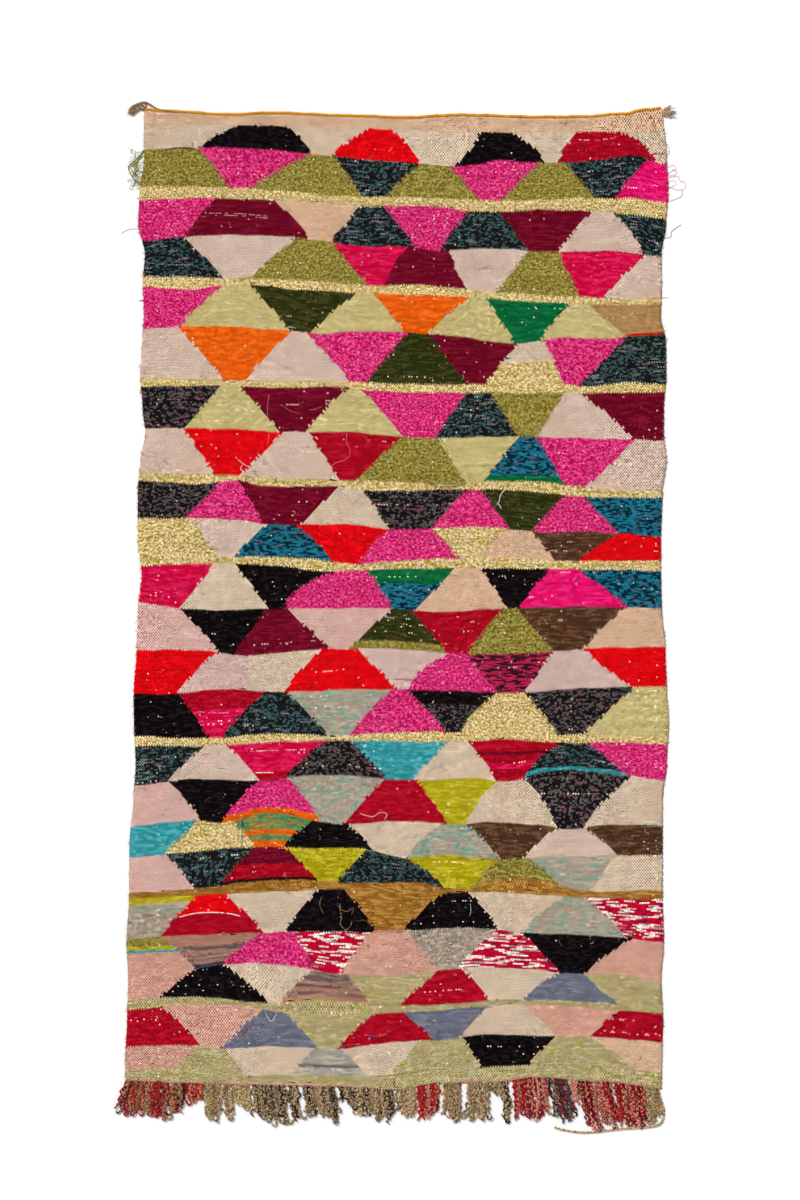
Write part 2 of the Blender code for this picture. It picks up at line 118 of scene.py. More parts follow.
# Strips of the cloth, head to foot: how far patch sides bulge, the line at the strip's foot as
# x and y in centimetres, and its patches as yarn, x of the right side at the head and at the foot
STRIPS = (
    (1.0, ((-62, 118), (-32, 117.8), (-4, 117), (24, 116.2), (50, 116.3), (66, 116.4)), (("peach",),)),
    (1.5, ((-60, 112), (-47, 112.5), (-35, 112.3), (-20, 111), (-5, 109.5), (5, 108.8), (13, 108),
        (20, 108.6), (24, 109.4), (30, 109.1), (41, 109), (50, 109.7), (60, 110.2), (63, 108.7),
        (66, 108.6)), (("cream", -38, -47.5, 1.2), ("black", -26, -20.5), ("cream", -6.5, -15),
        ("scarlet", -1, 5.5), ("cream", 20.5, 13, 0.6), ("black", 28, 35.5), ("cream", 43.5, 39),
        ("crimson", 54, 62.3), ("cream",))),
    (1.1, ((-60, 103.3), (-40, 102.9), (-25, 102), (-15, 101), (0, 100.7), (20, 100), (30, 99.8),
        (45, 100.4), (60, 100), (65, 99.3)), (("olive", -47.3, -40), ("magenta", -20.5, -35),
        ("olive", -15, -8), ("charcoal_teal", 6, -2.5), ("olive", 13, 19.5), ("magenta", 34.5, 25.5),
        ("olive", 40.5, 47.5), ("charcoal_teal", 61, 52.5), ("hot_pink",))),
    (1.0, ((-60, 100), (-50, 100.4), (-30, 99.9), (-12, 98.8), (-5, 98.3), (0, 98.6), (10, 98.3),
        (20, 97.1), (35, 97.6), (55, 96.6), (65, 95.3)), (("lime",),)),
    (1.1, ((-60, 90.2), (-45, 91.5), (-35, 91.5), (-20, 90.5), (-10, 89), (5, 88.5), (10, 87.8),
        (20, 88.3), (40, 87.5), (50, 87.8), (65, 86.2)), (("magenta", -43.5, -50.5),
        ("wine", -29.5, -21, 1.4), ("peach", -8.5, -15.5), ("charcoal_teal", -3, 4.5),
        ("magenta", 17.5, 10.5), ("charcoal_teal", 24.5, 31.5), ("wine", 47, 39),
        ("blush", 52.2, 59.2, 1.6), ("charcoal_teal",))),
    (1.1, ((-60, 81.6), (-42, 81.3), (-20, 80.5), (-5, 79.4), (5, 79.6), (20, 78.2), (35, 77.2),
        (50, 76.5), (64, 76.5)), (("charcoal_teal", -51.5, -41.5), ("blush", -24, -35),
        ("olive", -15.5, -7), ("raspberry", 2.8, -2.5, 1.5), ("wine", 12.8, 17.5, 0.62),
        ("blush", 32, 24.5), ("olive", 39, 44), ("raspberry", 60, 50), ("blush",))),
    (1.0, ((-60, 79.2), (-50, 78.5), (-38, 79.8), (-25, 78.6), (-5, 77.5), (15, 76.8), (30, 75.7),
        (50, 74.9), (64, 75)), (("lime",),)),
    (1.1, ((-60, 69), (-48, 69.7), (-25, 68.5), (-18, 67.9), (-10, 68.4), (15, 67.2), (30, 65.5),
        (38, 66.8), (50, 66.7), (64, 67.9)), (("magenta", -41.5, -51.5, 1.4), ("pistachio", -35, -25.5),
        ("dark_green", -9.5, -20.5), ("pistachio", -5.5, 2), ("orange", 17.5, 7.5),
        ("pistachio", 21.5, 28.5), ("emerald", 42, 34.5), ("pistachio", 46, 55), ("camel",))),
    (1.1, ((-60, 57.5), (-42, 56.8), (-10, 56.3), (0, 55.9), (20, 55.7), (40, 55.8), (48, 55.2),
        (53, 56.1), (65, 55.5)), (("blush", -52.5, -41.5), ("orange", -25, -36), ("blush", -21.5, -11),
        ("magenta", 3, -7), ("dark_green", 8, 17), ("wine", 29.5, 21.5), ("cream_over_lime", 35.5, 40),
        ("magenta", 55.5, 44), ("charcoal_teal",))),
    (1.0, ((-60, 55.2), (-42, 55.4), (-25, 54.9), (-18, 55.2), (-2, 54), (18, 53.7), (45, 53.6),
        (65, 53.9)), (("lime",),)),
    (1.1, ((-60, 45.2), (-40, 45), (-27, 44.3), (-10, 44.2), (3, 43), (28, 43.2), (45, 42.8), (63, 42.3)), (
        ("charcoal", -42, -50.5), ("pistachio", -37.5, -28), ("wine", -11.5, -22), ("pistachio", -8, 1.5),
        ("magenta", 17, 9.5), ("charcoal_teal", 22.5, 29), ("olive", 40.5, 34), ("blush", 44.5, 57),
        ("wine",))),
    (1.0, ((-62, 34.5), (-40, 34), (-25, 33.2), (-14, 32.8), (0, 32.5), (16, 31.6), (21, 32.3), (36, 32.2),
        (46, 31), (55, 30.3), (64, 30.5)), (("blush", -51, -43.5), ("scarlet", -27, -37.5),
        ("blush", -21, -13.5), ("crimson", 1.5, -9.5), ("olive", 10, 17), ("pistachio", 29.5, 21),
        ("teal_over_emerald", 33.8, 40.5), ("magenta", 57.5, 45.5), ("blush",))),
    (1.0, ((-62, 32.7), (-45, 31.9), (-37.5, 32.6), (-33, 31.6), (-15, 31.2), (-8, 30.4), (16, 30.5),
        (30, 30.2), (44, 28.8), (64, 28.5)), (("lime",),)),
    (1.1, ((-62, 23.6), (-38, 23.1), (-32, 22.3), (-10, 22), (0, 20.9), (10, 21.2), (25, 21.3), (32, 20.4),
        (48, 20.3), (64, 19)), (("charcoal", -42.2, -51, 1.0), ("magenta", -38, -32),
        ("wine", -13.4, -22.5), ("cream", -8, -1.8), ("charcoal", 17, 8.5), ("magenta", 20.3, 27.5, 0.9),
        ("dark_green", 40.7, 32.8), ("magenta", 45, 54, 0.85), ("teal_blue",))),
    (1.1, ((-62, 15.6), (-43, 14.5), (-20, 13.8), (-10, 12.6), (0, 13.3), (28, 14), (40, 13.4),
        (64, 13.4)), (("lime", -49.5, -43), ("blush", -31, -38.6), ("teal_blue", -24, -15),
        ("scarlet", -1.8, -9), ("magenta", 8.5, 15), ("lime", 26, 20), ("peach", 32.5, 38),
        ("brown", 53.8, 43.7), ("scarlet",))),
    (1.0, ((-61, 12.2), (-45, 12.7), (-30, 12.3), (-16, 10.8), (-7, 11.2), (16, 11.6), (37, 11.4),
        (64, 11)), (("lime",),)),
    (1.1, ((-62, 3.5), (-50, 1.8), (-30, 1.8), (-20, 1.9), (-2, 1.9), (10, 1.1), (25, 1.9), (50, 2.3),
        (64, 1.9)), (("raspberry", -43.5, -51.7), ("cream", -38.7, -30.7), ("black", -15.3, -26.5, 1.8),
        ("magenta", -7, -1), ("emerald_over_teal", 14.5, 4.5), ("peach", 20.3, 26.8), ("black", 37, 29.5),
        ("hot_pink", 43.6, 55.5), ("teal_blue",))),
    (1.1, ((-62, -8.1), (-45, -8.3), (-39, -9.2), (-20, -8), (0, -7.8), (14, -8.9), (37, -8.5), (46, -7.7),
        (64, -7.3)), (("pink_blush", -52, -42.5), ("black", -31, -39), ("wine", -26.3, -16),
        ("pink_blush", -0.7, -11), ("green_over_olive", 3.5, 12.2), ("crimson", 25.5, 17),
        ("olive", 28.5, 37.8), ("brown", 55, 45), ("peach",))),
    (1.1, ((-63, -18.5), (-52, -18.5), (-45, -17.6), (-27, -18.1), (-10, -17.5), (15, -17.9), (30, -18.3),
        (40, -17.5), (65, -16.7)), (("scarlet", -42.7, -52.5), ("lavender", -35, -35),
        ("cream", -17.3, -26.5, 1.5), ("scarlet", -9.5, 0), ("lavender", 12.8, 3.2, 1.7),
        ("magenta", 17, 24), ("navy_pink", 38, 31), ("lavender", 45, 57, 0.8), ("scarlet",))),
    (1.1, ((-63, -28.7), (-45, -29.2), (-28, -28.1), (-16, -28.6), (0, -27.8), (16, -27.8), (30, -28.7),
        (45, -28.2), (65, -29)), (("black", -52.3, -45), ("crimson_over_raspberry", -31.3, -41.5),
        ("charcoal_teal", -26.5, -16.5), ("mint_pink", -1, -11), ("magenta", 2.7, 12),
        ("black_over_charcoal", 24.5, 16, 1.6), ("lime", 31, 38.7), ("charcoal", 57.3, 45.3),
        ("pistachio",))),
    (1.0, ((-63, -31), (-46, -31.1), (-30, -30.2), (-10, -29.8), (14, -30.1), (28, -29.5), (38, -30.3),
        (55, -30.2), (65, -30.8)), (("lime",),)),
    (1.1, ((-62, -40.6), (-50, -39.1), (-30, -39.3), (-22, -38.2), (-15, -38), (-3, -39), (5, -39.3),
        (20, -38.8), (29, -39.4), (32, -38.2), (55, -38.2), (64, -39.4)), (("charcoal_teal", -46, -55),
        ("blush", -40.5, -33), ("raspberry_over_crimson", -17, -26.8), ("charcoal", -11.2, -2.2),
        ("turquoise", 12.5, 4.3, 1.2), ("cream", 17, 24.2), ("crimson_streaks", 39.5, 30.4),
        ("teal_over_turquoise", 45.7, 55.2), ("magenta",))),
    (1.15, ((-64, -50.5), (-48, -49), (-42, -49.6), (-33, -47.4), (-28, -47.1), (-19, -49.2), (-12, -49.8),
        (0, -49.1), (17, -49.8), (22, -49.4), (35, -50.2), (44, -51), (47, -50.4), (64, -50.3)), (
        ("pink_blush", -54.5, -47), ("black", -33, -42), ("magenta_over_orange", -26.3, -18.3),
        ("mint_pink", -2.9, -12.5, 1.0), ("crimson", 5, 12), ("chartreuse", 24.2, 16.7),
        ("cream", 30.7, 38.7), ("charcoal", 56.7, 45), ("cream",))),
    (1.1, ((-64, -57.9), (-50, -56.6), (-40, -55.6), (-18, -55.6), (-6, -56), (0, -57.8), (10, -57.3),
        (27, -58.3), (33, -57.8), (45, -57.5), (64, -57.2)), (("turquoise", -47.3, -55.5),
        ("lime", -39.5, -33.7), ("orange_and_green", -20, -26.8), ("black", -11.7, -5.5),
        ("cream", 11.0, 2.5, 1.3), ("mint_pink", 17, 25), ("brown", 39, 30.5), ("blush", 45.2, 53),
        ("brown",))),
    (1.1, ((-64, -66.4), (-45, -65), (-38, -64), (-22, -63.2), (-12, -63.9), (5, -63.9), (18, -65),
        (22, -63.5), (38, -64.1), (42, -65.2), (64, -65.7)), (("pink_blush", -55.3, -48.2),
        ("charcoal_teal", -34.3, -42.3), ("wine_over_crimson", -26.7, -18.8), ("chartreuse", -6.5, -14.2),
        ("charcoal_teal", 2.5, 12, 0.9), ("chartreuse", 25, 18.7), ("olive", 31.3, 38.7),
        ("mint_pink", 53, 46.5), ("cream",))),
    (1.0, ((-64, -67.9), (-50, -67), (-30, -66.1), (-15, -65.5), (12, -66.2), (25, -66.2), (40, -67.2),
        (64, -68)), (("golden_brown",),)),
    (1.25, ((-64, -77.4), (-56, -76.8), (-40, -76.2), (-20, -75.6), (-8, -75.8), (5, -75.2), (20, -74.8),
        (30, -75.8), (50, -76.7), (64, -78.2)), (("grey_under_lime", -47.6, -56.6, 1.15),
        ("crimson_under_scarlet", -41.3, -32), ("cream", -18.8, -26.5), ("black", -12.3, -5),
        ("golden_brown", 12, 2), ("black", 17.3, 24.4), ("cream", 40, 30.3), ("mint_pink", 45.2, 55),
        ("space_dyed",))),
    (1.1, ((-64, -85), (-49.5, -84.6), (-40, -83.4), (-28, -83.5), (-14, -85.8), (3, -86), (16, -84.4),
        (27, -84.4), (44, -85.8), (55, -86.1), (63, -88)), (("olive_over_salmon", -56, -48.3),
        ("tan_stripes", -32.5, -42), ("magenta", -24.7, -19.7), ("space_dyed", -6.4, -13.3),
        ("salmon", 2, 9.8), ("grey_marl", 24, 15), ("space_dyed", 30, 39.3), ("black", 56.7, 45.3),
        ("salmon",))),
    (1.2, ((-64, -92.2), (-50, -91.2), (-28, -92.7), (-20, -91.9), (-5, -93), (10, -93.2), (25, -92),
        (38, -92.1), (54, -93.1), (64, -94)), (("salmon", -48, -56.5), ("black", -41.7, -31),
        ("cream", -19.5, -27.2), ("lavender_stripes", -11.8, -6.5, 1.1), ("sage", 10, 1),
        ("crimson", 15.7, 22.4), ("cream", 39.2, 30.5), ("slate", 45.2, 54, 0.7), ("sage",))),
    (1.0, ((-64, -94.5), (-52, -93.3), (-40, -93.2), (-28, -94.8), (2, -95), (12, -94.4), (25, -93.2),
        (38, -93.3), (50, -94.3), (64, -95.2)), (("sage",),)),
    (1.15, ((-65, -103.3), (-47, -103), (-42, -103.6), (-30, -103.2), (-13, -103.7), (0, -102.1),
        (12, -101.5), (20, -100.4), (35, -100.7), (50, -101), (64, -102.3)), (("crimson", -56.3, -47.2),
        ("salmon", -31.8, -42, 1.0), ("slate", -27, -19), ("sage", -5, -14), ("crimson", 1.5, 9),
        ("slate", 22.5, 15.3), ("cream", 30.5, 38.5), ("salmon", 53.7, 46.7), ("crimson",))),
    (1.15, ((-65, -109), (-55, -108.7), (-45, -110), (-25, -110), (0, -109.8), (5, -109), (20, -108.2),
        (50, -107.8), (64, -109.6)), (("salmon", -47.5, -54, 0.8), ("sage", -41, -36.5),
        ("cream", -19.7, -25), ("pale_stripes", -13, -7), ("cream", 6, -1), ("sage", 15.7, 20.3),
        ("black", 38.5, 31.5), ("sage", 46.5, 57), ("peach",))),
    (1.0, ((-65, -111), (-50, -111.5), (-15, -112.3), (0, -113), (10, -111.5), (25, -111.2), (33, -110.1),
        (50, -111.2), (64, -112.8)), (("sage",),)),
    (1.0, None, (("salmon", -55, -55), ("sage", -45, -45), ("salmon", -1, 1), ("sage", 15, 15),
        ("salmon", 30, 31), ("sage",))),
)

# Patches woven of several yarns: from the foot up, the share of the height where each one ends
LAYERED = {
    "cream_over_lime": ((0.5, "lime"), (1.0, "cream")),
    "teal_over_emerald": ((0.11, "emerald"), (1.0, "teal_blue")),
    "emerald_over_teal": ((0.65, "teal_blue"), (1.0, "emerald")),
    "green_over_olive": ((0.2, "olive"), (1.0, "dark_green")),
    "crimson_over_raspberry": ((0.61, "raspberry"), (1.0, "crimson")),
    "black_over_charcoal": ((0.65, "charcoal"), (1.0, "black")),
    "raspberry_over_crimson": ((0.2, "crimson"), (1.0, "raspberry")),
    "crimson_streaks": ((0.3, "crimson"), (0.4, "raspberry"), (0.62, "crimson"), (0.7, "wine"), (1.0, "crimson")),
    "teal_over_turquoise": ((0.12, "turquoise"), (1.0, "charcoal_teal")),
    "magenta_over_orange": ((0.15, "orange"), (1.0, "magenta")),
    "orange_and_green": ((0.17, "orange"), (0.4, "green_melange"), (0.5, "orange"), (1.0, "green_melange")),
    "wine_over_crimson": ((0.07, "black"), (0.5, "crimson"), (1.0, "wine")),
    "grey_under_lime": ((0.62, "grey_marl"), (0.86, "mint_pink"), (1.0, "chartreuse")),
    "crimson_under_scarlet": ((0.53, "crimson"), (1.0, "scarlet")),
    "olive_over_salmon": ((0.53, "salmon"), (0.62, "turquoise"), (0.72, "chartreuse"), (1.0, "olive")),
    "tan_stripes": ((0.13, "navy_grey"), (0.21, "tan"), (0.26, "lavender_grey"), (0.34, "tan"),
                    (0.39, "lavender_grey"), (0.5, "tan"), (0.66, "lavender_grey"), (1.0, "tan")),
    "lavender_stripes": ((0.06, "camel"), (0.2, "tan"), (0.3, "lavender_grey"), (0.42, "tan"),
                         (0.52, "lavender_grey"), (0.6, "tan"), (1.0, "lavender_grey")),
    "pale_stripes": ((0.3, "pale_blue"), (0.42, "lavender_grey"), (1.0, "pale_blue")),
}

# Kinds of yarn: fuzziness, share of the colour kept in the painted shade of the pits, unevenness,
# share of bare warp that shows, and how many beads long a fleck is
KINDS = {
    "cotton": (0.00, 0.00, 0.38, 0.001, 1),
    "wool": (0.20, 0.15, 0.80, 0.002, 1),
    "marl": (0.25, 0.10, 0.90, 0.002, 3),
    "chenille": (1.00, 0.45, 0.95, 0.001, 1),
}

# Yarns of the cloth: kind, main, second and fleck colours in sRGB, share of the second colour,
# share of flecks, and length of a run of one colour in warps
YARNS = {
    "peach": ("cotton", (220, 180, 147), (231, 192, 161), (160, 92, 60), 0.38, 0.030, 4),
    "cream": ("cotton", (217, 192, 166), (227, 204, 179), (140, 104, 80), 0.38, 0.020, 4),
    "blush": ("cotton", (218, 189, 171), (229, 201, 184), (150, 92, 80), 0.38, 0.020, 4),
    "pink_blush": ("cotton", (220, 175, 164), (230, 188, 179), (150, 90, 84), 0.38, 0.015, 4),
    "black": ("wool", (10, 5, 7), (28, 22, 24), (120, 112, 108), 0.30, 0.006, 1.6),
    "charcoal": ("marl", (22, 18, 19), (88, 82, 80), (150, 80, 104), 0.36, 0.060, 0.9),
    "charcoal_teal": ("marl", (24, 22, 24), (58, 86, 86), (150, 138, 140), 0.36, 0.060, 1.0),
    "scarlet": ("wool", (216, 3, 10), (230, 10, 22), (240, 100, 90), 0.38, 0.002, 3),
    "crimson": ("wool", (160, 4, 26), (184, 16, 42), (226, 110, 120), 0.38, 0.004, 3),
    "raspberry": ("wool", (200, 6, 58), (222, 30, 88), (240, 120, 150), 0.38, 0.005, 3),
    "magenta": ("chenille", (176, 16, 84), (216, 62, 124), (238, 134, 174), 0.50, 0.040, 1),
    "hot_pink": ("wool", (226, 9, 100), (240, 38, 124), (196, 0, 84), 0.38, 0.010, 3),
    "wine": ("wool", (102, 4, 28), (122, 16, 44), (170, 70, 90), 0.38, 0.004, 3),
    "olive": ("chenille", (110, 100, 34), (152, 138, 68), (180, 166, 104), 0.50, 0.040, 1.6),
    "lime": ("chenille", (212, 187, 138), (158, 138, 48), (238, 220, 198), 0.36, 0.050, 3),
    "pistachio": ("marl", (196, 180, 118), (208, 192, 136), (164, 150, 90), 0.42, 0.040, 3),
    "dark_green": ("wool", (40, 46, 12), (62, 63, 28), (118, 110, 80), 0.40, 0.010, 3),
    "emerald": ("wool", (4, 94, 48), (22, 112, 64), (90, 160, 120), 0.40, 0.006, 3),
    "orange": ("wool", (226, 86, 6), (238, 106, 26), (240, 160, 100), 0.38, 0.004, 3),
    "camel": ("wool", (167, 126, 75), (184, 144, 95), (130, 92, 50), 0.40, 0.030, 3),
    "golden_brown": ("wool", (148, 100, 34), (180, 132, 64), (112, 70, 16), 0.42, 0.040, 3),
    "brown": ("wool", (74, 46, 29), (102, 72, 50), (152, 126, 104), 0.40, 0.015, 3),
    "teal_blue": ("marl", (8, 42, 58), (30, 112, 138), (110, 96, 104), 0.54, 0.050, 1.5),
    "turquoise": ("wool", (44, 142, 150), (78, 172, 180), (40, 110, 110), 0.40, 0.030, 2),
    "lavender": ("cotton", (213, 179, 171), (224, 193, 185), (160, 110, 104), 0.38, 0.015, 4),
    "mint_pink": ("marl", (176, 162, 142), (128, 162, 144), (204, 142, 140), 0.36, 0.140, 3),
    "chartreuse": ("wool", (172, 158, 16), (196, 182, 48), (140, 126, 10), 0.40, 0.040, 3),
    "space_dyed": ("marl", (194, 8, 48), (246, 224, 216), (48, 22, 56), 0.34, 0.110, 4),
    "slate": ("wool", (100, 103, 121), (122, 124, 138), (150, 146, 152), 0.40, 0.020, 3),
    "salmon": ("cotton", (214, 159, 139), (225, 173, 154), (150, 92, 76), 0.34, 0.020, 4),
    "sage": ("marl", (174, 158, 110), (190, 174, 132), (154, 166, 56), 0.40, 0.130, 3),
    "navy_pink": ("marl", (54, 20, 38), (180, 36, 74), (30, 20, 34), 0.52, 0.080, 2.4),
    "tan": ("cotton", (173, 123, 102), (191, 141, 119), (120, 84, 70), 0.38, 0.030, 4),
    "lavender_grey": ("cotton", (112, 92, 92), (154, 127, 116), (190, 160, 140), 0.40, 0.030, 4),
    "navy_grey": ("wool", (60, 56, 74), (90, 84, 96), (140, 130, 134), 0.38, 0.030, 3),
    "pale_blue": ("marl", (156, 156, 146), (190, 178, 154), (130, 130, 128), 0.44, 0.040, 3),
    "grey_marl": ("marl", (154, 142, 126), (190, 170, 152), (96, 88, 88), 0.46, 0.060, 1),
    "green_melange": ("marl", (80, 134, 84), (156, 134, 66), (200, 96, 30), 0.36, 0.070, 4),
}

# Yarns of the fringe, the cord and the loose threads: two shades in sRGB
THREADS = {
    "ochre": ((246, 182, 44), (214, 144, 26)),
    "grey": ((172, 152, 126), (108, 90, 70)),
    "beige": ((214, 186, 148), (158, 126, 90)),
    "straw": ((214, 194, 134), (138, 118, 66)),
    "soft_red": ((190, 44, 40), (130, 22, 24)),
    "soft_pink": ((218, 148, 128), (192, 110, 96)),
    # A dark brown yarn: some plies of the ends are this dark, and it also stands in the fringe as painted shade
    # for the gaps between strands
    "dark_ply_and_gap_shade": ((46, 40, 32), (28, 24, 20)),
    "khaki": ((178, 148, 108), (104, 78, 46)),
    "navy": ((40, 44, 66), (74, 76, 92)),
    "dark_wine": ((112, 18, 36), (76, 8, 24)),
    "tan_end": ((190, 150, 112), (136, 98, 68)),
    "olive_fibre": ((150, 146, 66), (104, 100, 34)),
    "pink_fibre": ((222, 84, 146), (182, 34, 104)),
    "pale_pink": ((228, 150, 176), (206, 104, 140)),
    "lime_fibre": ((212, 204, 130), (180, 168, 66)),
    "white_thread": ((250, 244, 236), (226, 216, 204)),
    "dark_thread": ((40, 38, 38), (26, 24, 26)),
    "teal_thread": ((46, 130, 130), (20, 84, 92)),
    "blue_thread": ((40, 84, 150), (30, 60, 110)),
    "green_thread": ((70, 176, 84), (40, 140, 60)),
    "lemon": ((226, 204, 40), (196, 168, 20)),
    "orange_thread": ((236, 120, 40), (206, 90, 20)),
    "red_thread": ((196, 24, 44), (160, 12, 34)),
    "scarlet_thread": ((216, 10, 18), (190, 4, 10)),
}

# Bunches of warp ends, left to right: x of the first and the last root, number of ends, how far
# the first and the last end reach towards -Y, how far those two lean towards +X, and their mix
BUNCHES = (
    (-0.646, -0.545, 15, 0.072, 0.082, -0.024, -0.004, "brown_red_mix"),
    (-0.538, -0.508, 5, 0.084, 0.052, -0.002, 0.001, "brown_red_mix"),
    (-0.500, -0.466, 5, 0.042, 0.046, 0.002, 0.001, "red_mix"),
    (-0.457, -0.423, 5, 0.094, 0.076, 0.001, 0.001, "beige_mix"),
    (-0.412, -0.392, 3, 0.076, 0.082, 0.002, 0.002, "beige_mix"),
    (-0.384, -0.355, 4, 0.050, 0.062, 0.004, 0.008, "straw_mix"),
    (-0.345, -0.268, 11, 0.074, 0.088, 0.010, 0.007, "mottled"),
    (-0.256, -0.240, 3, 0.090, 0.064, 0.008, 0.006, "mottled"),
    (-0.224, -0.150, 10, 0.066, 0.084, 0.012, 0.013, "mottled"),
    (-0.140, -0.076, 8, 0.040, 0.064, 0.014, 0.010, "mottled"),
    (-0.068, -0.010, 8, 0.060, 0.076, 0.008, 0.004, "mottled"),
    (0.004, 0.044, 5, 0.060, 0.066, 0.002, 0.002, "beige_mix"),
    (0.052, 0.105, 7, 0.080, 0.066, 0.002, 0.002, "red_mix"),
    (0.113, 0.155, 6, 0.078, 0.092, 0.002, 0.001, "khaki_mix"),
    (0.172, 0.222, 7, 0.088, 0.078, 0.000, 0.001, "khaki_mix"),
    (0.231, 0.244, 2, 0.034, 0.032, 0.001, 0.002, "khaki_mix"),
    (0.254, 0.270, 3, 0.090, 0.080, 0.002, 0.004, "khaki_mix"),
    (0.279, 0.358, 9, 0.088, 0.098, 0.004, 0.012, "red_mix"),
    (0.367, 0.408, 6, 0.098, 0.100, 0.022, 0.026, "navy_mix"),
    (0.419, 0.428, 2, 0.062, 0.062, 0.014, 0.014, "pink_mix"),
    (0.436, 0.468, 5, 0.108, 0.108, 0.024, 0.025, "dark_red_mix"),
    (0.476, 0.518, 6, 0.098, 0.098, 0.025, 0.020, "dark_red_mix"),
    (0.525, 0.594, 10, 0.096, 0.092, 0.018, 0.008, "red_mix"),
    (0.596, 0.630, 5, 0.080, 0.072, 0.008, 0.006, "beige_mix"),
)

# Each mix: what the dark and the light ply of an end may be, named as often as it is met
MIXES = {
    # The dark brown yarn in these mixes is partly real dark plies and partly painted shade for the gaps between
    # strands
    "brown_red_mix": (("soft_red", "soft_red", "dark_wine", "dark_ply_and_gap_shade"), ("khaki", "tan_end", "soft_red")),
    "red_mix": (("soft_red", "soft_red", "dark_wine"), ("soft_pink", "soft_pink", "beige", "soft_red")),
    "beige_mix": (("khaki", "tan_end", "grey"), ("beige", "beige", "straw")),
    "straw_mix": (("khaki", "straw"), ("straw", "beige")),
    "mottled": (("dark_ply_and_gap_shade", "dark_ply_and_gap_shade", "grey"), ("khaki", "khaki", "beige")),
    "khaki_mix": (("grey", "dark_ply_and_gap_shade", "khaki"), ("khaki", "beige")),
    "navy_mix": (("navy", "dark_ply_and_gap_shade"), ("soft_red", "khaki", "navy")),
    "pink_mix": (("soft_pink",), ("soft_pink", "beige")),
    "dark_red_mix": (("soft_red", "dark_wine"), ("soft_pink", "tan_end", "soft_red")),
}
STRANDS_PER_END = 3.5
PLY_RADIUS = 0.0014
PLY_TURN = 0.012
STRAND_STEP = 0.0021
CRIMP = (0.0016, 0.0046)
CRIMP_LENGTH = (0.011, 0.021)
STRAND_LAYERS = 0.0034
CURLED_SHARE = 0.30
ONE_COLOUR_SHARE = 0.6

# The one long end, which lies round the foot's right corner: x, y of points along its middle
LONG_END = (
    (0.6320, -1.150),
    (0.6405, -1.175),
    (0.6420, -1.200),
    (0.6320, -1.219),
    (0.6000, -1.226),
    (0.5400, -1.230),
    (0.4800, -1.237),
    (0.4400, -1.238),
    (0.4000, -1.232),
    (0.3800, -1.226),
)

LONG_END_PLY = 0.0015

# The heading's cord, loop and tuft
CORD_RADIUS = 0.0032
CORD_PLY_RADIUS = 0.0018
CORD_TURN = 0.011
CORD_END_INSET = 0.004
LOOP_HEIGHT = 0.0028
LOOP_LAYER = 0.0009
LOOP_HAIRS = 50
LOOP_MIDDLE = (-0.6335, 1.2125)
LOOP_SPREAD = 0.004
LOOP_PLY = 0.0014
LOOP_TURN = 0.009
TUFT_PLACE = (0.6460, 1.2085)
TUFT_ANGLE = math.radians(12)
TUFT_LENGTH = 0.032
TUFT_ENDS = 54
TUFT_FAN = 0.55

# Yarns at the head's left corner, as x and y in centimetres
LOOP_YARNS = (
    ("tan_end", "beige", ((-60.3, 121.6), (-60.1, 122.8), (-60.4, 123.4), (-61.3, 123.3), (-62.4, 122.9),
        (-63.5, 122.3), (-64.1, 121.4), (-63.9, 120.8), (-63.2, 120.6), (-62.3, 121.2), (-61.3, 121.8),
        (-60.3, 121.9))),
    ("grey", "tan_end", ((-60.4, 122.3), (-61.4, 122.9), (-62.5, 122.5), (-63.2, 121.8), (-63.8, 121.0),
        (-63.0, 121.1), (-62.2, 121.6), (-61.4, 122.1), (-60.6, 121.5))),
    ("khaki", "beige", ((-63.9, 121.9), (-63.3, 121.3), (-63.5, 120.7), (-64.1, 121.0), (-63.8, 121.8),
        (-63.1, 121.9), (-62.9, 121.2), (-63.4, 120.9))),
    ("grey", "tan_end", ((-60.1, 123.4), (-58.9, 122.8), (-57.0, 121.7), (-54.6, 121.4), (-52.6, 120.9))),
)

